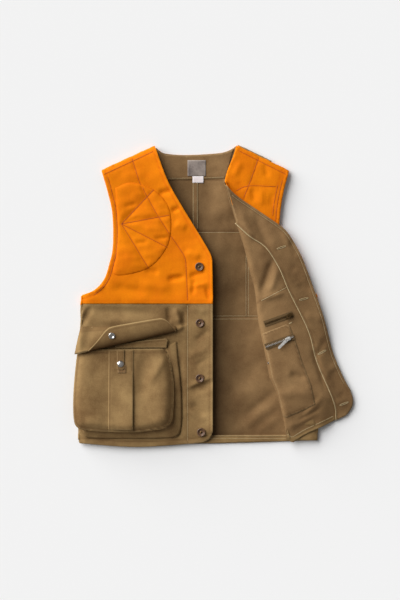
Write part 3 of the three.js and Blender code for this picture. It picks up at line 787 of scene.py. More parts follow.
layCloth("right_yoke_blaze", clip(rightRing, (-400, yokeY), (400, yokeY)),
         lambda P: frontHeight(P) + 0.9 * smooth(12, -12, P[:, 1]), blazeTwill, overEdge,
         ["right_yoke", "right_edge_yoke"], seams=rightLong, pitch=3.6)
canvasSeams = [
    seam([(-57, -14), (-57, -322)], depth=0.9, pucker=0.8, reach=12, ripple=12, seed=56),
    seam([(-8.5, -14), (-8.5, -300)], depth=0.6, pucker=0.4, reach=8, ripple=9, seed=57),
    seam([(-290, -310), (-170, -318), (-52, -312), (-12, -303)], depth=0.8, pucker=0.8, reach=12, ripple=11,
         seed=58),
]
layCloth("right_front_canvas", clip(rightRing, (400, yokeY + 7), (-400, yokeY + 7)),
         lambda P: frontHeight(P) - 0.7 * smooth(-20, -14, P[:, 1]), tanCanvas, overEdge,
         ["right_front", "right_edge_front"], seams=canvasSeams, pitch=3.6)
layCloth("right_front_inside", rightRing, rightInsideHeight, tanLining, overEdge,
         ["right_front_lining", "right_facing"], thick=1.0, pitch=4.5)
print("right front made")

neckLeft = [collarLeft, (42, 305), (30, 275), foldTop]


def leftRing(radius):  # the part that stays down, up to where its cloth starts round the fold
    border = foldBorder(radius)
    neck = smoothLine(neckLeft, 5)[:-2]
    rest = outline([(foldFoot, (228, -316)), sideLeft, armholeLeft, (shoulderLeft, collarLeft)], 5)
    return np.vstack([neck, border, rest[3:]])


def turnedRing(radius):
    hem = smoothLine(turnedHem, 5)[::-1]
    edge = smoothLine(turnedEdge, 5)[::-1]
    return np.vstack([foldBorder(radius), hem[3:-1], edge[:-2]])


outerRadius = fold["radius"] - 3.4
armholeLeftLine = smoothLine(armholeLeft, 6)
leftSeams = [
    seam(alongside(armholeLeftLine, 9.0), seed=61), seam([(56, 319), (158, 268)], seed=62),
    seam([(99, 306), (84, 262), (64, 211)], depth=0.9, pucker=0.7, reach=13, seed=63),
    seam([(47, 231), (76, 242), (136, 241)], depth=0.6, pucker=0.8, reach=16, ripple=12, seed=64),
    seam(alongside(armholeLeftLine, 16.0), depth=0.4, seed=65),
]
layCloth("left_yoke_blaze", clip(leftRing(outerRadius), (-400, yokeY), (400, yokeY)), leftSideHeight,
         blazeTwill,
         "root", ["left_yoke"], seams=leftSeams, pitch=4, wrap=aroundFold(outerRadius, True))
layCloth("left_front_canvas", clip(leftRing(outerRadius), (400, yokeY + 7), (-400, yokeY + 7)),
         leftSideHeight, tanCanvas, "root", ["left_front_side"], pitch=5,
         wrap=aroundFold(outerRadius, True))
layCloth("left_front_inside", leftRing(fold["radius"]), lambda P: leftSideHeight(P) - layerStep - 1.2,
         tanLining, "root",
         ["left_side_lining"], thick=1.0, pitch=5, wrap=aroundFold(fold["radius"], True))

turnedSeams = [
    seam(facingSeam, depth=0.7, pucker=0.6, reach=13, ripple=12, seed=71),
    seam(turnedYokeSeam, depth=0.5, pucker=0.4, reach=10, ripple=12, seed=72),
]
layCloth("turned_lining", turnedRing(fold["radius"]), turnedHeight, tanLining, "left_front",
         ["left_yoke_lining", "left_front_lining"], seams=turnedSeams, pitch=3.6, thick=1.1,
         wrap=aroundFold(fold["radius"], False))


def belowTurned(P):  # outer cloth, sewn close to the lining at the free edge and loose inside
    d = nearest(P, freeEdge)[0]
    return turnedHeight(P) - 1.35 - 2.7 * smooth(2, 16, d)


layCloth("turned_yoke_blaze", clip(turnedRing(outerRadius), *turnedYokeSeam), belowTurned, blazeTwill,
         "left_front",
         ["left_turned_yoke"], pitch=5, wrap=aroundFold(outerRadius, False))
layCloth("turned_canvas", clip(turnedRing(outerRadius), *turnedYokeSeam[::-1]), belowTurned, tanCanvas,
         "left_front",
         ["left_turned_front"], pitch=5, wrap=aroundFold(outerRadius, False))

freeRun = smoothLine(turnedEdge, 5)[::-1]
facingRing = np.vstack([smoothLine(facingSeam, 5), smoothLine(turnedHem[:4], 5)[::-1], freeRun[1:-1],
                        smoothLine([(27, 244), (39, 203), (50, 163)], 5)])
buttonhole = {"places": [(148, 107, 19), (197, -5.5, 14), (237, -122, 27), (286, -235, 19)], "half": 10.2}
holeLines = []
for x, y, tilt in buttonhole["places"]:
    half = buttonhole["half"] * np.array([math.cos(math.radians(tilt)), math.sin(math.radians(tilt))])
    holeLines.append([tuple(np.array((x, y)) - half), tuple(np.array((x, y)) + half)])
facingSeams = [seam(alongside(freeRun, 5.5), depth=0.5, pucker=0.4, reach=9, ripple=10, seed=73),
               seam(alongside(smoothLine(facingSeam, 5), 4.0), depth=0.4, pucker=0.3, reach=8, seed=74)]
facingSeams += [seam(line, depth=1.1, width=1.6, pucker=0.3, reach=10, ripple=9, seed=75 + k)
                for k, line in enumerate(holeLines)]
trimStrip("turned_facing", facingRing, "turned_lining", tanLining, "left_front", ["left_facing"],
          seams=facingSeams, lift=1.25, thick=1.0)
patchRing = [(106, -81), (157, -61), (165, -64), (176, -91), (194, -147), (212, -193), (221, -235), (194, -249),
             (158, -264), (152, -262), (139, -205), (127, -177), (121, -146), (113, -111)]
patchStitch = [(108, -84), (158, -65), (172, -92), (190, -147), (208, -193), (216, -232), (193, -244),
               (158, -259)]
trimStrip("inner_patch_pocket", patchRing, "turned_lining", tanLining, "left_front", ["inner_pocket"],
          seams=[seam(patchStitch, depth=0.5, pucker=0.45, reach=9, ripple=9, seed=79)], lift=1.25, thick=1.0)


squashed = {"edge": 14, "crown": 3.0, "under": 3.0, "pitch": 6}  # the left pocket, pressed flat in the fold


def pillow(name, ring, low, high, material, body, replaces, ceiling=None):  # closed body, flat below
    look = squashed
    ring = evenly(np.asarray(ring, float), look["pitch"])
    P, faces = flatMesh(ring, look["pitch"])
    d = nearest(P, np.vstack([ring, ring[:1]]))[0]
    swell = np.sqrt(np.clip(1 - (1 - np.clip(d / look["edge"], 0, 1)) ** 2, 0, 1))
    fullness = (high - low) * (0.35 + 0.65 * swell) - look["crown"] * (1 - swell) * 0.2
    fullness = fullness + waves(P, [(0.4, 30, 30, 9)]) * swell
    topZ = low + np.maximum(fullness, 0.8)
    floorZ = np.full(len(P), low)
    if ceiling:
        topZ = np.minimum(topZ, ceiling(P))
        floorZ = np.minimum(floorZ, topZ - 1.6 - look["under"] * swell)
    verts = np.vstack([np.column_stack([P, topZ]), np.column_stack([P, floorZ])])
    return place(meshObject(name, verts, closedSkin(faces, len(P)), material), body, replaces)


turnedPocketRing = outline([((106, -87), (190, -52)),
                            [(190, -52), (222, -120), (239, -201), (226, -250), (196, -278),
                            (160, -285)], [(160, -285), (147, -230), (127, -170), (113, -111), (106, -87)]], 6)
sidePocketRing = outline([((112, -90), (222, -90)), ((222, -90), (226, -286)), ((226, -286), (166, -286)),
                          [(166, -286), (140, -205), (122, -130), (112, -90)]], 6)
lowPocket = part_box("left_pocket_side")
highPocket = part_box("left_pocket_front")
pillow("left_pocket_inside_half", sidePocketRing, lowPocket[0].z / mm, lowPocket[1].z / mm, tanCanvas,
                 "root", ["left_pocket_side"])
pillow("left_pocket_outside", turnedPocketRing, highPocket[0].z / mm, highPocket[1].z / mm - 4.5,
                 tanCanvas,
                 "left_front", ["left_pocket_front"], ceiling=lambda P: belowTurned(P) - 2.0)


# cloth inside the turn
def foldBridge(name, lowY, highY, material):
    radius = outerRadius - 2.0
    path = foldSilhouette[(foldSilhouette[:, 1] >= lowY) & (foldSilhouette[:, 1] <= highY)]
    turn = np.linspace(0, math.pi, 13)
    offsets = np.r_[fold["radius"] + 8, fold["radius"] + 4, fold["radius"] - radius * np.sin(turn),
                    fold["radius"] + 4, fold["radius"] + 8]
    rises = np.r_[-radius - 0.8, -radius - 0.6, -radius * np.cos(turn), radius, radius]
    room = np.min([belowTurned(alongside(path, fold["radius"] + d)) for d in (0, 4, 8)],
                  axis=0) - 2.0 - fold["height"]
    upper = np.clip(room / radius, 0.1, 1)  # lower where the turned cloth leaves less room
    level = np.ones(len(path))
    rows = [np.column_stack([alongside(path, out), fold["height"] + rise * (upper if rise > 0 else level)])
            for out, rise in zip(offsets, rises)]
    obj = clothBody(name, np.vstack(rows), gridFaces(len(rows), len(path)), 1.0, material)
    middle = np.r_[path.mean(axis=0), fold["height"]]
    half = np.array([0, 0, radius])
    place(obj, ("root", "left_front", middle - half, middle + half))


foldBridge("fold_bridge_blaze", yokeY - 1, 158, blazeTwill)
foldBridge("fold_bridge_canvas", -276, yokeY + 4, tanCanvas)
print("left front made")

pocketLow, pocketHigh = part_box("pocket_front")
slope = (pocketHigh.z - pocketLow.z - 0.0012) / (pocketHigh.y - pocketLow.y)
mouthY = pocketHigh.y / mm + 0.5
panel = {"roll": 7.5, "rollWidth": 20, "crowns": [(4.2, -262, 34), (5.0, -118, 30)], "lift": 1.2,
         "waves": [(0.5, 40, 50, 81), (0.25, 16, 18, 82)]}
panel["folds"] = [
    ((-104, -132), (-146, -196), 9, 3.4), ((-148, -122), (-158, -222), 17, -6.4),
    ((-110, -190), (-112, -260), 18, 2.2),
    ((-292, -150), (-270, -250), 16, 1.8), ((-250, -130), (-262, -200), 14, -1.4),
    ((-130, -270), (-100, -255), 9, 1.4),
    ((-280, -268), (-245, -278), 9, 1.5),
]


def panelHeight(P):  # front of the pocket, rolled over at its rim and crowned on both sides of the pleat
    x, y = P.T
    d = nearest(P, smoothLine(pocketFrontLine, 8))[0]
    roll = panel["roll"] * (1 - smooth(0, panel["rollWidth"], d)) ** 1.6
    crown = sum(height * np.exp(-(((x - middle) / width) ** 2)) for height, middle, width in panel["crowns"])
    crown = crown * smooth(-112, -150, y) * smooth(-296, -262, y)
    base = pocketLow.z / mm + panel["lift"] + (mouthY - y) * slope
    return base + crown - roll + creases(P, panel["folds"]) + waves(P, panel["waves"])


panelRing = evenly(outline([pocketFrontLine, (pocketFrontLine[-1], pocketFrontLine[0])], 4), 3.2)
panelSeams = [
    seam([(-300, -124), (-102, -122)], depth=0.5, pucker=0.4, reach=8, ripple=9, seed=83),
    seam(alongside(smoothLine(pocketFrontLine, 5), -4.0), depth=0.6, pucker=0.5, reach=9, ripple=9, seed=84),
]
layCloth("pocket_panel", panelRing, panelHeight, tanCanvas, "root", ["pocket_front"],
         seams=panelSeams,
         pitch=3.2)


bellows = {"rows": 11, "tuck": 9.0, "ruffle": 1.6, "ruffleRise": 1.2, "thick": 1.2}


def bellowsSheet():
    rim = smoothLine(pocketFrontLine, 4)
    foot = resample(smoothLine(pocketFootLine, 4), 4)
    count, rows = max(len(rim), len(foot)), bellows["rows"]
    share = np.linspace(0, 1, count)
    rim, foot = [np.column_stack([np.interp(share, np.linspace(0, 1, len(line)), line[:, k]) for k in (0, 1)])
                 for line in (rim, foot)]
    inward = -leftOf(headings(rim))
    rimZ = heightOn("pocket_panel")(rim + inward * 1.5) - 0.6
    footZ = np.full(count, nodeTop("right_front") + 1.5)
    verts, groove_shade = [], []
    for k in range(rows):
        t = k / (rows - 1)
        middle = math.sin(math.pi * t)
        ruffle = noise(np.arange(count) * 4.0, np.full(count, k * 6.0), 16, 20, 85)
        # the bellows fold in half way up
        inset = bellows["tuck"] * middle ** 1.4 + ruffle * bellows["ruffle"] * middle
        at = rim * (1 - t) + foot * t + inward * inset[:, None]
        z = rimZ * (1 - t) + footZ * t + ruffle * bellows["ruffleRise"] * middle
        verts.append(np.column_stack([at, z]))
        # painted shade along the bellows' inward fold
        groove_shade.append(np.full(count, math.exp(-((t - 0.55) / 0.12) ** 2) * 0.8))
    obj = clothBody("pocket_bellows", np.vstack(verts), gridFaces(rows, count), bellows["thick"], tanCanvas,
                    {"groove_shade": np.concatenate(groove_shade)})
    place(obj, "root", ["pocket_gusset"])


bellowsSheet()


pleat = {"left": -229, "width": 54, "foot": -291, "lift": 1.5, "gape": 4.4, "crown": 1.2}
pleatRing = [(pleat["left"] + across, y) for across, y in ((0, -117), (0, pleat["foot"]),
                                                           (pleat["width"], pleat["foot"]),
                                                           (pleat["width"], -117))]
onPanel = heightOn("pocket_panel")


def pleatHeight(P):  # open box pleat: its right edge stands away below the bar tack
    x, y = P.T
    u = (x - pleat["left"]) / pleat["width"]
    gape = pleat["gape"] * smooth(0.2, 1, u) + pleat["crown"] * np.sin(math.pi * np.clip(u, 0, 1))
    return onPanel(P) + pleat["lift"] + smooth(-150, -230, y) * gape


layCloth("box_pleat", np.array(pleatRing, float), pleatHeight, tanCanvas, "root", ["pocket_pleat"],
         seams=[seam([(-226.5, -117), (-226.5, -291)], depth=0.5, seed=86),
                              seam([(-178, -117), (-178, -162)], depth=0.5, seed=87)], pitch=2.8, thick=1.3)
tabRing = [(-211, -117), (-211, -157), (-208, -160), (-198, -160), (-195, -157), (-195, -117)]
tabHeight = heightOn("box_pleat")
layCloth("snap_tab_cloth", np.array(tabRing, float), lambda P: tabHeight(P) + 2.6, tanCanvas, "root",
         ["snap_tab"],
         seams=[seam([(-209, -117), (-209, -156), (-197, -156), (-197, -117)], depth=0.35,
                                   pucker=0.1)],
         pitch=2.0, thick=1.5)

# the flap folds along the line between these two
axisLeft, axisRight = np.array([-294.0, -124, frontTop + 17]), np.array([-81.0, -76, frontTop + 7.5])
axisRun = axisRight - axisLeft
axisLong = np.linalg.norm(axisRun)
axisDir = axisRun / axisLong
levelDir = np.array([-axisDir[1], axisDir[0], 0])
levelDir /= np.linalg.norm(levelDir)
upDir = np.cross(axisDir, levelDir)
flap = {"lean": 20, "bulge": 3.2, "rise": 14.2, "wave": 0.8, "thick": 1.2, "columns": 70, "heelRows": 16,
        "rows": 15}
flapEdgeLine = smoothLine([(22, 2), (50, 25), (72, 43), (88, 46), (137, 44), (184, 41), (196, 38), (206, 27),
                           (218, 0.3)], 4)  # along the fold, and out from it


def flapSheet():
    lean = math.radians(flap["lean"])
    columns, heelRows, flapRows = flap["columns"], flap["heelRows"], flap["rows"]
    u = np.linspace(-10.0 / axisLong, 1.0, columns) * axisLong
    reach = np.interp(u, flapEdgeLine[:, 0], flapEdgeLine[:, 1], left=0.6, right=0.6)
    verts, groove_shade, rub = [], [], []
    for s, length in zip(u, reach):
        rolled = np.clip((5 - s) / 15, 0, 1)  # the left end rolls down over the side of the pocket
        base = axisLeft + axisDir * s - np.array([0, 0, 13.0]) * rolled ** 1.6
        seamX = max(base[0] * 0.985 - 3.5, -290.5 + 0.1 * (base[0] + 303))
        seamPoint = np.array([seamX, -66.0, frontTop + 1.6])
        for k in range(heelRows):  # from the seam down to the fold
            t = k / heelRows
            sag = flap["bulge"] * math.sin(math.pi * min(1, t * 1.15)) if t < 0.87 else 0
            ripple = (0.9 + 1.4 * smooth(60, 10, s)) * math.sin(s / 11 + 2.2 * math.sin(s / 31) + 3 * t)
            lift = sag + ripple * (1 - t) ** 0.7 + 1.5 * math.sin(math.pi * t)
            verts.append(seamPoint * (1 - t) + base * t + np.array([0, 0, lift]))
            # painted shade at the seam and along a line just below it
            groove_shade.append(math.exp(-((t - 0.03) / 0.05) ** 2) + 0.8 * math.exp(-((t - 0.16) / 0.05) ** 2))
            rub.append(0.0)
        for k in range(flapRows + 1):  # and back up over it
            t = k / flapRows
            out = length * t
            rise = 1.6 + flap["rise"] * (1 - math.exp(-out / 10.0)) - 0.8 * t ** 3
            wave = flap["wave"] * math.sin(s / 24 + 0.6) * t
            level = out * math.cos(lean) - 2.4 * (1 - math.exp(-out / 5))
            verts.append(base + levelDir * level + upDir * (rise + wave))
            # painted shade in the fold, fading out over the flap, and along the stitch line 5 mm in from the
            # free edge
            stitch = 0.9 * math.exp(-((length - out - 5) / 1.6) ** 2) if length > 12 else 0.0
            groove_shade.append(max(stitch, 1.3 * math.exp(-out / 9.0)))
            rub.append(math.exp(-((length - out) / 2.0) ** 2))
    middle = (axisLeft + axisRight) / 2
    body = ("root", "flap", middle - upDir * 2.5, middle + upDir * 3.0)
    obj = clothBody("pocket_flap_cloth", np.array(verts), gridFaces(columns, heelRows + flapRows + 1),
                    flap["thick"],
                    tanCanvas, {"groove_shade": groove_shade, "rub": rub})
    place(obj, body, ["pocket_flap", "flap_heel"])


flapSheet()
print("pocket made")

pad = {"puff": 3.4, "puffWidth": 9, "rim": 0.85, "rimRound": 0.4, "pitch": 3.2, "waves": [(0.7, 34, 11, 91)]}
pad["folds"] = [
    ((-196, 197), (-168, 203), 5, -2.2), ((-196, 164), (-160, 168), 5, -1.8),
    ((-132, 126), (-98, 129), 4.5, -2.8),
    ((-174, 117), (-144, 119), 5, -2.2), ((-120, 175), (-96, 178), 4.5, -2.0),
    ((-150, 150), (-110, 146), 7, 1.4),
    ((-180, 222), (-150, 226), 7, 1.2), ((-196, 90), (-160, 84), 8, 1.3),
]
padHub = (-202, 159)
padRays = [[padHub, (-131, 234)], [padHub, (-97, 178)], [padHub, (-100, 107)], [padHub, (-142, 61)]]
padRing = evenly(outline([padLine + padLine[:1]], 4), pad["pitch"])


def quiltedPad():
    P, faces = flatMesh(padRing, pad["pitch"])
    edge = nearest(P, np.vstack([padRing, padRing[:1]]))[0]
    over = nearest(P, smoothLine(princessLine, 4))[0]
    stitched = np.min([nearest(P, smoothLine(ray, 4))[0] for ray in padRays] + [edge, over * 1.4 + 1.5], axis=0)
    under = heightOn("right_yoke_blaze")(P) - 1.0
    puckers = waves(P, pad["waves"]) + creases(P, pad["folds"])
    puffed = pad["puff"] * (1 - np.exp(-stitched / pad["puffWidth"])) + puckers * smooth(0, 10, stitched)
    rim = pad["rim"] + pad["rimRound"] * smooth(0, 2.5, edge)
    # painted shade along the quilting stitches and the princess seam
    groove_shade = np.exp(-(np.minimum(stitched, over) / 1.4) ** 2)
    top = np.column_stack([P, under + rim + puffed])
    verts = np.vstack([top, np.column_stack([P, under])])
    obj = meshObject("shoulder_pad_quilted", verts, closedSkin(faces, len(P)), blazeTwill,
                     {"groove_shade": np.r_[groove_shade, groove_shade]})
    place(obj, "root", ["shoulder_pad"])
    keepSurface("shoulder_pad_quilted", top)


quiltedPad()


def lathe(name, profile, centre, material, body, replaces=(), tilt=(0, 0, 1), segments=40):
    up = np.array(tilt, float) / np.linalg.norm(tilt)
    side = np.cross((0, 1, 0), up)
    side /= np.linalg.norm(side)
    other = np.cross(up, side)
    verts = []
    for r, z in profile:
        for k in range(segments):
            a = 2 * math.pi * k / segments
            verts.append(np.array(centre) + side * r * math.cos(a) + other * r * math.sin(a) + up * z)
    obj = meshObject(name, np.array(verts), tubeFaces(len(profile), segments), material)
    return place(obj, body, replaces)


button = {
    "places": [topButton, (-30, -58), (-30, -179), (-27, -297)], "lift": 0.9, "tilt": (-0.08, 0.0, 1),
    "profile": [(6.5, 0), (8.6, 0.2), (9.3, 0.9), (9.5, 1.8), (9.4, 2.8), (9.0, 3.6), (8.2, 4.0), (7.4, 3.9),
                (6.6, 3.1), (5.9, 2.0), (5.2, 1.5), (3.4, 1.3), (1.6, 1.5), (0.3, 1.6)],
    "shank": [(2.2, 0), (2.6, 0.5), (2.3, 1.2), (1.2, 1.6), (0.2, 1.7)],
}
for k, (x, y) in enumerate(button["places"]):
    cloth = heightOn("right_yoke_blaze" if y > yokeY else "right_front_canvas")
    z = float(cloth(np.array([[x, y]], float))[0]) + button["lift"]
    lathe(f"horn_button_{k + 1}", button["profile"], (x, y, z), hornResin, "right_edge", [f"button_{k + 1}"],
          tilt=button["tilt"])
    lathe(f"button_shank_{k + 1}", button["shank"], (x - 0.1, y, z + 1.3), agedBrass, "right_edge",
          segments=20)
snap = {
    "at": (-203, -147),
    "cap": [(6.2, 0), (7.0, 0.2), (7.25, 0.8), (7.0, 1.4), (5.6, 1.7), (5.3, 2.2), (4.8, 2.8), (3.6, 3.1),
            (1.6, 3.2),
            (0.2, 3.2)],
    "socket": [(5.5, 0), (7.0, 0.3), (7.25, 0.9), (6.7, 1.6), (4.9, 1.9), (4.3, 1.5), (3.8, 0.6), (0.2, 0.5)],
}
tabTop = float(heightOn("snap_tab_cloth")(np.array([snap["at"]], float))[0])
lathe("tab_snap_cap", snap["cap"], (*snap["at"], tabTop + 0.2), nickelPlate, "root", ["tab_snap"],
      tilt=(0, 0.12, 1))
flapSnapAt = axisLeft + axisDir * 79 + levelDir * 21.5 + upDir * 16.2
lathe("flap_snap_socket", snap["socket"], flapSnapAt, nickelPlate, "flap", ["flap_snap"],
      tilt=levelDir * -0.2 + upDir * 0.97)


# thin raised cord of cloth or thread, which follows the cloth it lies on
def piping(name, line, over, material, body, radius=0.75, lift=0.35, pitch=2.5):
    path = smoothLine(line, pitch)
    path = np.column_stack([path, heightOn(over)(path) + lift])
    ahead = headings(path)
    across = np.column_stack([leftOf(ahead), np.zeros(len(path))])
    across /= np.linalg.norm(across, axis=1, keepdims=True)
    up = np.cross(ahead, across)
    around = 8
    turns = np.arange(around) * 2 * math.pi / around
    rings = [path + (across * math.cos(a) + up * math.sin(a)) * radius for a in turns]
    obj = meshObject(name, np.stack(rings, axis=1).reshape(-1, 3), tubeFaces(len(path), around), material)
    return place(obj, body)


piping("facing_piping", facingSeam, "turned_facing", paleThread, "left_front", radius=0.9,
       lift=0.2)
piping("lining_yoke_piping", [(104, -9), (150, 15), (192, 37)], "turned_lining", paleThread, "left_front",
       radius=0.55)
# radius of each kind of thread, and how high it lies on the cloth
stitching = {"rust": 0.42, "pale": 0.36, "barTack": 0.9, "lift": 0.2, "leftLift": 1.4}
rustLines = {
    "princess_upper": ([(-179, 303), (-162, 250), (-157, 242)], "right_yoke_blaze"),
    "princess_on_pad": ([(-155, 238), (-146, 219), (-120, 173), (-97, 138)], "shoulder_pad_quilted"),
    "princess_lower": ([(-92, 130), (-76, 107), (-63, 85), (-60, 56), (-57, -8)], "right_yoke_blaze"),
    "armhole_seam": (armholeStitch[3:-4], "right_yoke_blaze"),
    "shoulder_seam": ([(-240, 268), (-133, 317)], "right_yoke_blaze"),
    **{f"pad_ray_{k + 1}": (ray, "shoulder_pad_quilted") for k, ray in enumerate(padRays)},
}
for name, (line, over) in rustLines.items():
    piping(f"stitching_{name}", line, over, blazeThread, overEdge, radius=stitching["rust"],
           lift=stitching["lift"])
leftRustLines = {
    "left_shoulder_seam": [(56, 319), (158, 268)],
    "left_princess": [(98, 303), (84, 262), (66, 216)],
    "left_pad_edge": [(50, 232), (76, 242), (136, 241)],
    "left_armhole_seam": alongside(armholeLeftLine, 9.0)[34:-4],
    "left_armhole_second": alongside(armholeLeftLine, 16.0)[36:-6],
}
for name, line in leftRustLines.items():  # these lie higher than the other threads
    piping(f"stitching_{name}", line, "left_yoke_blaze", blazeThread, "root",
           radius=stitching["rust"], lift=stitching["leftLift"])
paleLines = {
    "placket": ([(-57, -20), (-57, -316)], "right_front_canvas", overEdge),
    "neck_facing": ([(-100, 259.5), (24, 262)], "neck_band", "root"),
    "centre_fell_left": ([(-44.2, 254), (-44.2, 148)], "centre_back_fell", "root"),
    "centre_fell_right": ([(-35.8, 254), (-35.8, 148)], "centre_back_fell", "root"),
    "cross_seam": ([(-60, 140.5), (60, 140.5)], "back_lining", "root"),
    "side_seam_left": ([(71.5, 116), (71.5, pouchY + 1)], "back_lining", "root"),
    "side_seam_right": ([(76.5, 116), (76.5, pouchY + 1)], "back_lining", "root"),
    "pouch_upper": ([(-40, pouchY + 2.2), (112, pouchY + 2.2)], "back_lining", "root"),
    "pouch_lower": ([(-40, pouchY - 4.5), (112, pouchY - 4.5)], "back_lining", "root"),
    "back_hem_upper": ([(-278, -306), (160, -306.5)], "back_hem_band", "root"),
    "back_hem_lower": ([(-278, -311.5), (160, -312)], "back_hem_band", "root"),
    "free_edge": (alongside(freeRun, 5.5)[4:-6], "turned_facing", "left_front"),
    "bar_tack": ([(164, -59.5), (171, -56)], "turned_lining", "left_front"),
}
for name, (line, over, body) in paleLines.items():
    width = stitching["barTack" if name == "bar_tack" else "pale"]
    piping(f"stitching_{name}", line, over, paleThread, body, radius=width,
           lift=stitching["lift"])
for k, line in enumerate(holeLines):
    a, b = np.array(line)
    along = (b - a) / np.linalg.norm(b - a)
    out = np.array([-along[1], along[0]])
    loop = [a + along * (buttonhole["half"] + 10.6 * math.cos(t)) + out * 1.5 * math.sin(t)
            for t in np.linspace(0, 2 * math.pi, 13)]
    piping(f"buttonhole_stitch_{k + 1}", loop, "turned_facing", paleThread, "left_front",
           radius=0.7, lift=0.5,
           pitch=1.5)
piping("flap_piping_seam", [(-284, -68), (-180, -67.5), (-84, -67)], "right_front_canvas", paleThread, "root",
       radius=0.4, lift=2.0)


tooth = {"pitch": 1.55, "end": 0.8}
# along the chain, across it, and 0 at the back or 1 at the front
tooth["corners"] = [(-0.55, -0.6, 0), (0.55, -0.6, 0), (0.4, 2.3, 0), (-0.4, 2.3, 0), (-0.45, -0.4, 1),
                    (0.45, -0.4, 1),
                    (0.3, 2.1, 1), (-0.3, 2.1, 1)]
cubeFaces = ((3, 2, 1, 0), (4, 5, 6, 7), (0, 1, 5, 4), (1, 2, 6, 5), (2, 3, 7, 6), (3, 0, 4, 7))


def teeth(name, chain, material):  # two rows of metal teeth that interlock along the chain
    points = np.array([v.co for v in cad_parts[chain].data.vertices]) / mm - patternShift
    centre = points[:, :2].mean(0)
    axes = np.linalg.svd(points[:, :2] - centre, full_matrices=False)[2]
    along = axes[0] * (1 if axes[0][0] > 0 else -1)
    across = np.array([-along[1], along[0]])
    t = points[:, :2] @ along
    middle = centre - along * (centre @ along)
    lowZ, highZ = points[:, 2].min(), points[:, 2].max()
    verts, faces = [], []
    for k, at in enumerate(np.arange(t.min() + tooth["end"], t.max() - tooth["end"], tooth["pitch"])):
        side = 1 if k % 2 else -1
        for u, v, w in tooth["corners"]:
            xy = middle + along * (at + u) + across * side * v
            verts.append([*xy, lowZ + (highZ - lowZ) * w])
        faces += [[k * 8 + i for i in (f if side > 0 else f[::-1])] for f in cubeFaces]
    obj = meshObject(name, np.array(verts), faces, material)
    obj.data.polygons.foreach_set("use_smooth", np.zeros(len(obj.data.polygons), bool))
    place(obj, "left_front", [chain])


teeth("lower_zip_teeth", "lower_zip_chain", satinNickel)
teeth("upper_zip_teeth", "upper_zip_chain", agedBrass)
hemUpper = [(161, -300), (172, -307.5), (185, -300), (206, -288.5), (240, -273), (263, -263)]
hemLower = [(267, -270.5), (240, -284), (206, -299), (185, -311), (172, -319), (163, -312)]
hemStitch = [(166, -305), (185, -303.5), (206, -292), (240, -276), (262, -266)]
trimStrip("turned_hem_band", np.vstack([smoothLine(hemUpper, 4), smoothLine(hemLower, 4)]), "turned_lining",
          tanCanvas,
          "left_front", (), lift=1.0, thick=0.8, pitch=2.5,
          seams=[seam(hemStitch, depth=0.4, pucker=0.3)], wave=0.3)
piping("turned_hem_piping", [(162, -301), (172, -307), (185, -299.6), (206, -288), (240, -272.6),
                             (262, -262.6)],
       "turned_hem_band", paleThread, "left_front", radius=0.5)
mouthRing = [(-215, -106), (-152, -96), (-104, -92), (-100, -96), (-103, -112), (-215, -113)]


def mouthHeightAt(P):
    x, y = P.T
    return frontTop + 5.2 + 0.06 * (x + 160) * 0.3 + 1.3 * smooth(-112, -96, y) + 0.4 * noise(x, y, 20, 12, 88)


layCloth("pocket_mouth_band", np.array(mouthRing, float), mouthHeightAt, tanCanvas, "root", (),
         seams=[seam([(-212, -109), (-150, -100), (-104, -96)], depth=0.4, pucker=0.3)], pitch=2.6, thick=1.6)
underTabRing = [(-209, -150), (-209, -167), (-191, -167), (-191, -150)]
layCloth("snap_tab_under", np.array(underTabRing, float), lambda P: heightOn("box_pleat")(P) + 1.0, tanLining,
         "root", (),
         pitch=2.5, thick=0.8)
print("hardware made")

keptNodes = {"lining_snap": nickelPlate, "lower_zip_tape": tapeTwill, "upper_zip_tape": tapeTwill,
             "lower_zip_slider": satinNickel, "lower_zip_pull": satinNickel, "upper_zip_slider": agedBrass,
             "upper_zip_pull": agedBrass}
for name, material in keptNodes.items():
    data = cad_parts[name].data
    data.materials.clear()
    data.materials.append(material)


# felled seam, a low rounded ridge of folded cloth
def seamRoll(name, line, material, replaces, radius=2.6, z=6.2, tall=1.25):
    path = smoothLine(line, 5)
    across = leftOf(headings(path))
    around = 12
    verts = []
    for i, p in enumerate(path):
        puff = 1 + 0.12 * math.sin(i * 0.9 + len(name)) + 0.08 * math.sin(i * 2.3)
        for k in range(around):
            a = 2 * math.pi * k / around
            xy = p + across[i] * radius * puff * math.cos(a)
            verts.append([*xy, z + radius * tall * puff * math.sin(a)])
    obj = meshObject(name, np.array(verts), tubeFaces(len(path), around), material,
                     {"rub": np.full(len(verts), 0.3)})
    place(obj, "root", replaces)


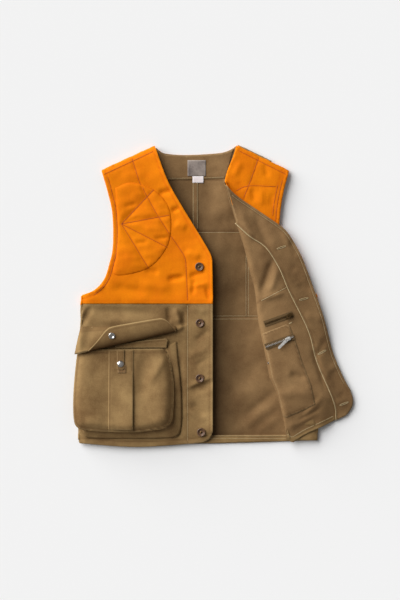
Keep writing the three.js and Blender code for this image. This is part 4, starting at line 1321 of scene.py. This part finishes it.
seamRoll("right_side_felled", [(-290, -14), (-290, -60), (-294, -200), (-295, -314)], tanCanvas,
         ["right_side_seam"])
seamRoll("left_side_felled", [(226, -313), (230, -228), (229, -120), (226, -14)], tanCanvas, ["left_side_seam"])
seamRoll("right_side_blaze", [(-288.5, 1), (-290, -18)], blazeTwill, [])
seamRoll("left_side_blaze", [(225.5, 4), (226, -18)], blazeTwill, [])
seamRoll("right_shoulder_felled", [(-131, 328), (-244, 276)], blazeTwill, ["right_shoulder_seam"])
seamRoll("left_shoulder_back_edge", [(53, 331.5), (90, 314), (127, 296)], tanCanvas, [],
         radius=1.9, z=6.0)
seamRoll("left_shoulder_felled", [(53, 329), (164, 275)], blazeTwill, ["left_shoulder_seam"])

studio = {"floor": 0.88, "world": 0.19, "sun": 5.11, "softness": 1.15, "sunFrom": (-0.72, 0.52, 0.52),
          "lens": 81.8, "cameraAt": (-0.0297, -0.0082, 3.0)}
floorMaterial, tree, output = newMaterial("white paper sweep")  # matt and evenly white, as paper is
floorShader = addNode(tree, "ShaderNodeBsdfPrincipled", Roughness=0.95)
floorShader.inputs["Base Color"].default_value = (*[studio["floor"]] * 3, 1)
floorShader.inputs["Specular IOR Level"].default_value = 0.0
tree.links.new(floorShader.outputs[0], output.inputs["Surface"])
floorData = bpy.data.meshes.new("floor")
corners = [(x, y, -0.0005) for x, y in ((-8, -8), (8, -8), (8, 8), (-8, 8))]
floorData.from_pydata(corners, [], [(0, 1, 2, 3)])
floorData.materials.append(floorMaterial)
floor = bpy.data.objects.new("floor", floorData)
scene.collection.objects.link(floor)
floor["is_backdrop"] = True

world = bpy.data.worlds.new("studio")
scene.world = world
world.use_nodes = True
world.node_tree.nodes["Background"].inputs[0].default_value = (1, 1, 1, 1)
world.node_tree.nodes["Background"].inputs[1].default_value = studio["world"]
keyData = bpy.data.lights.new("key", "SUN")
keyData.energy = studio["sun"]
keyData.angle = studio["softness"]
key = bpy.data.objects.new("key", keyData)
key.rotation_euler = Vector(studio["sunFrom"]).to_track_quat("Z", "Y").to_euler()
scene.collection.objects.link(key)

cameraData = bpy.data.cameras.new("camera")
cameraData.lens = studio["lens"]
camera = bpy.data.objects.new("camera", cameraData)
camera.location = studio["cameraAt"]
scene.collection.objects.link(camera)
scene.camera = camera
scene.view_settings.view_transform = "Standard"

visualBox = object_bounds()
for name, box in (("cad", cadBox), ("visual", visualBox)):
    print(name, [tuple(round(v, 4) for v in c) for c in box])
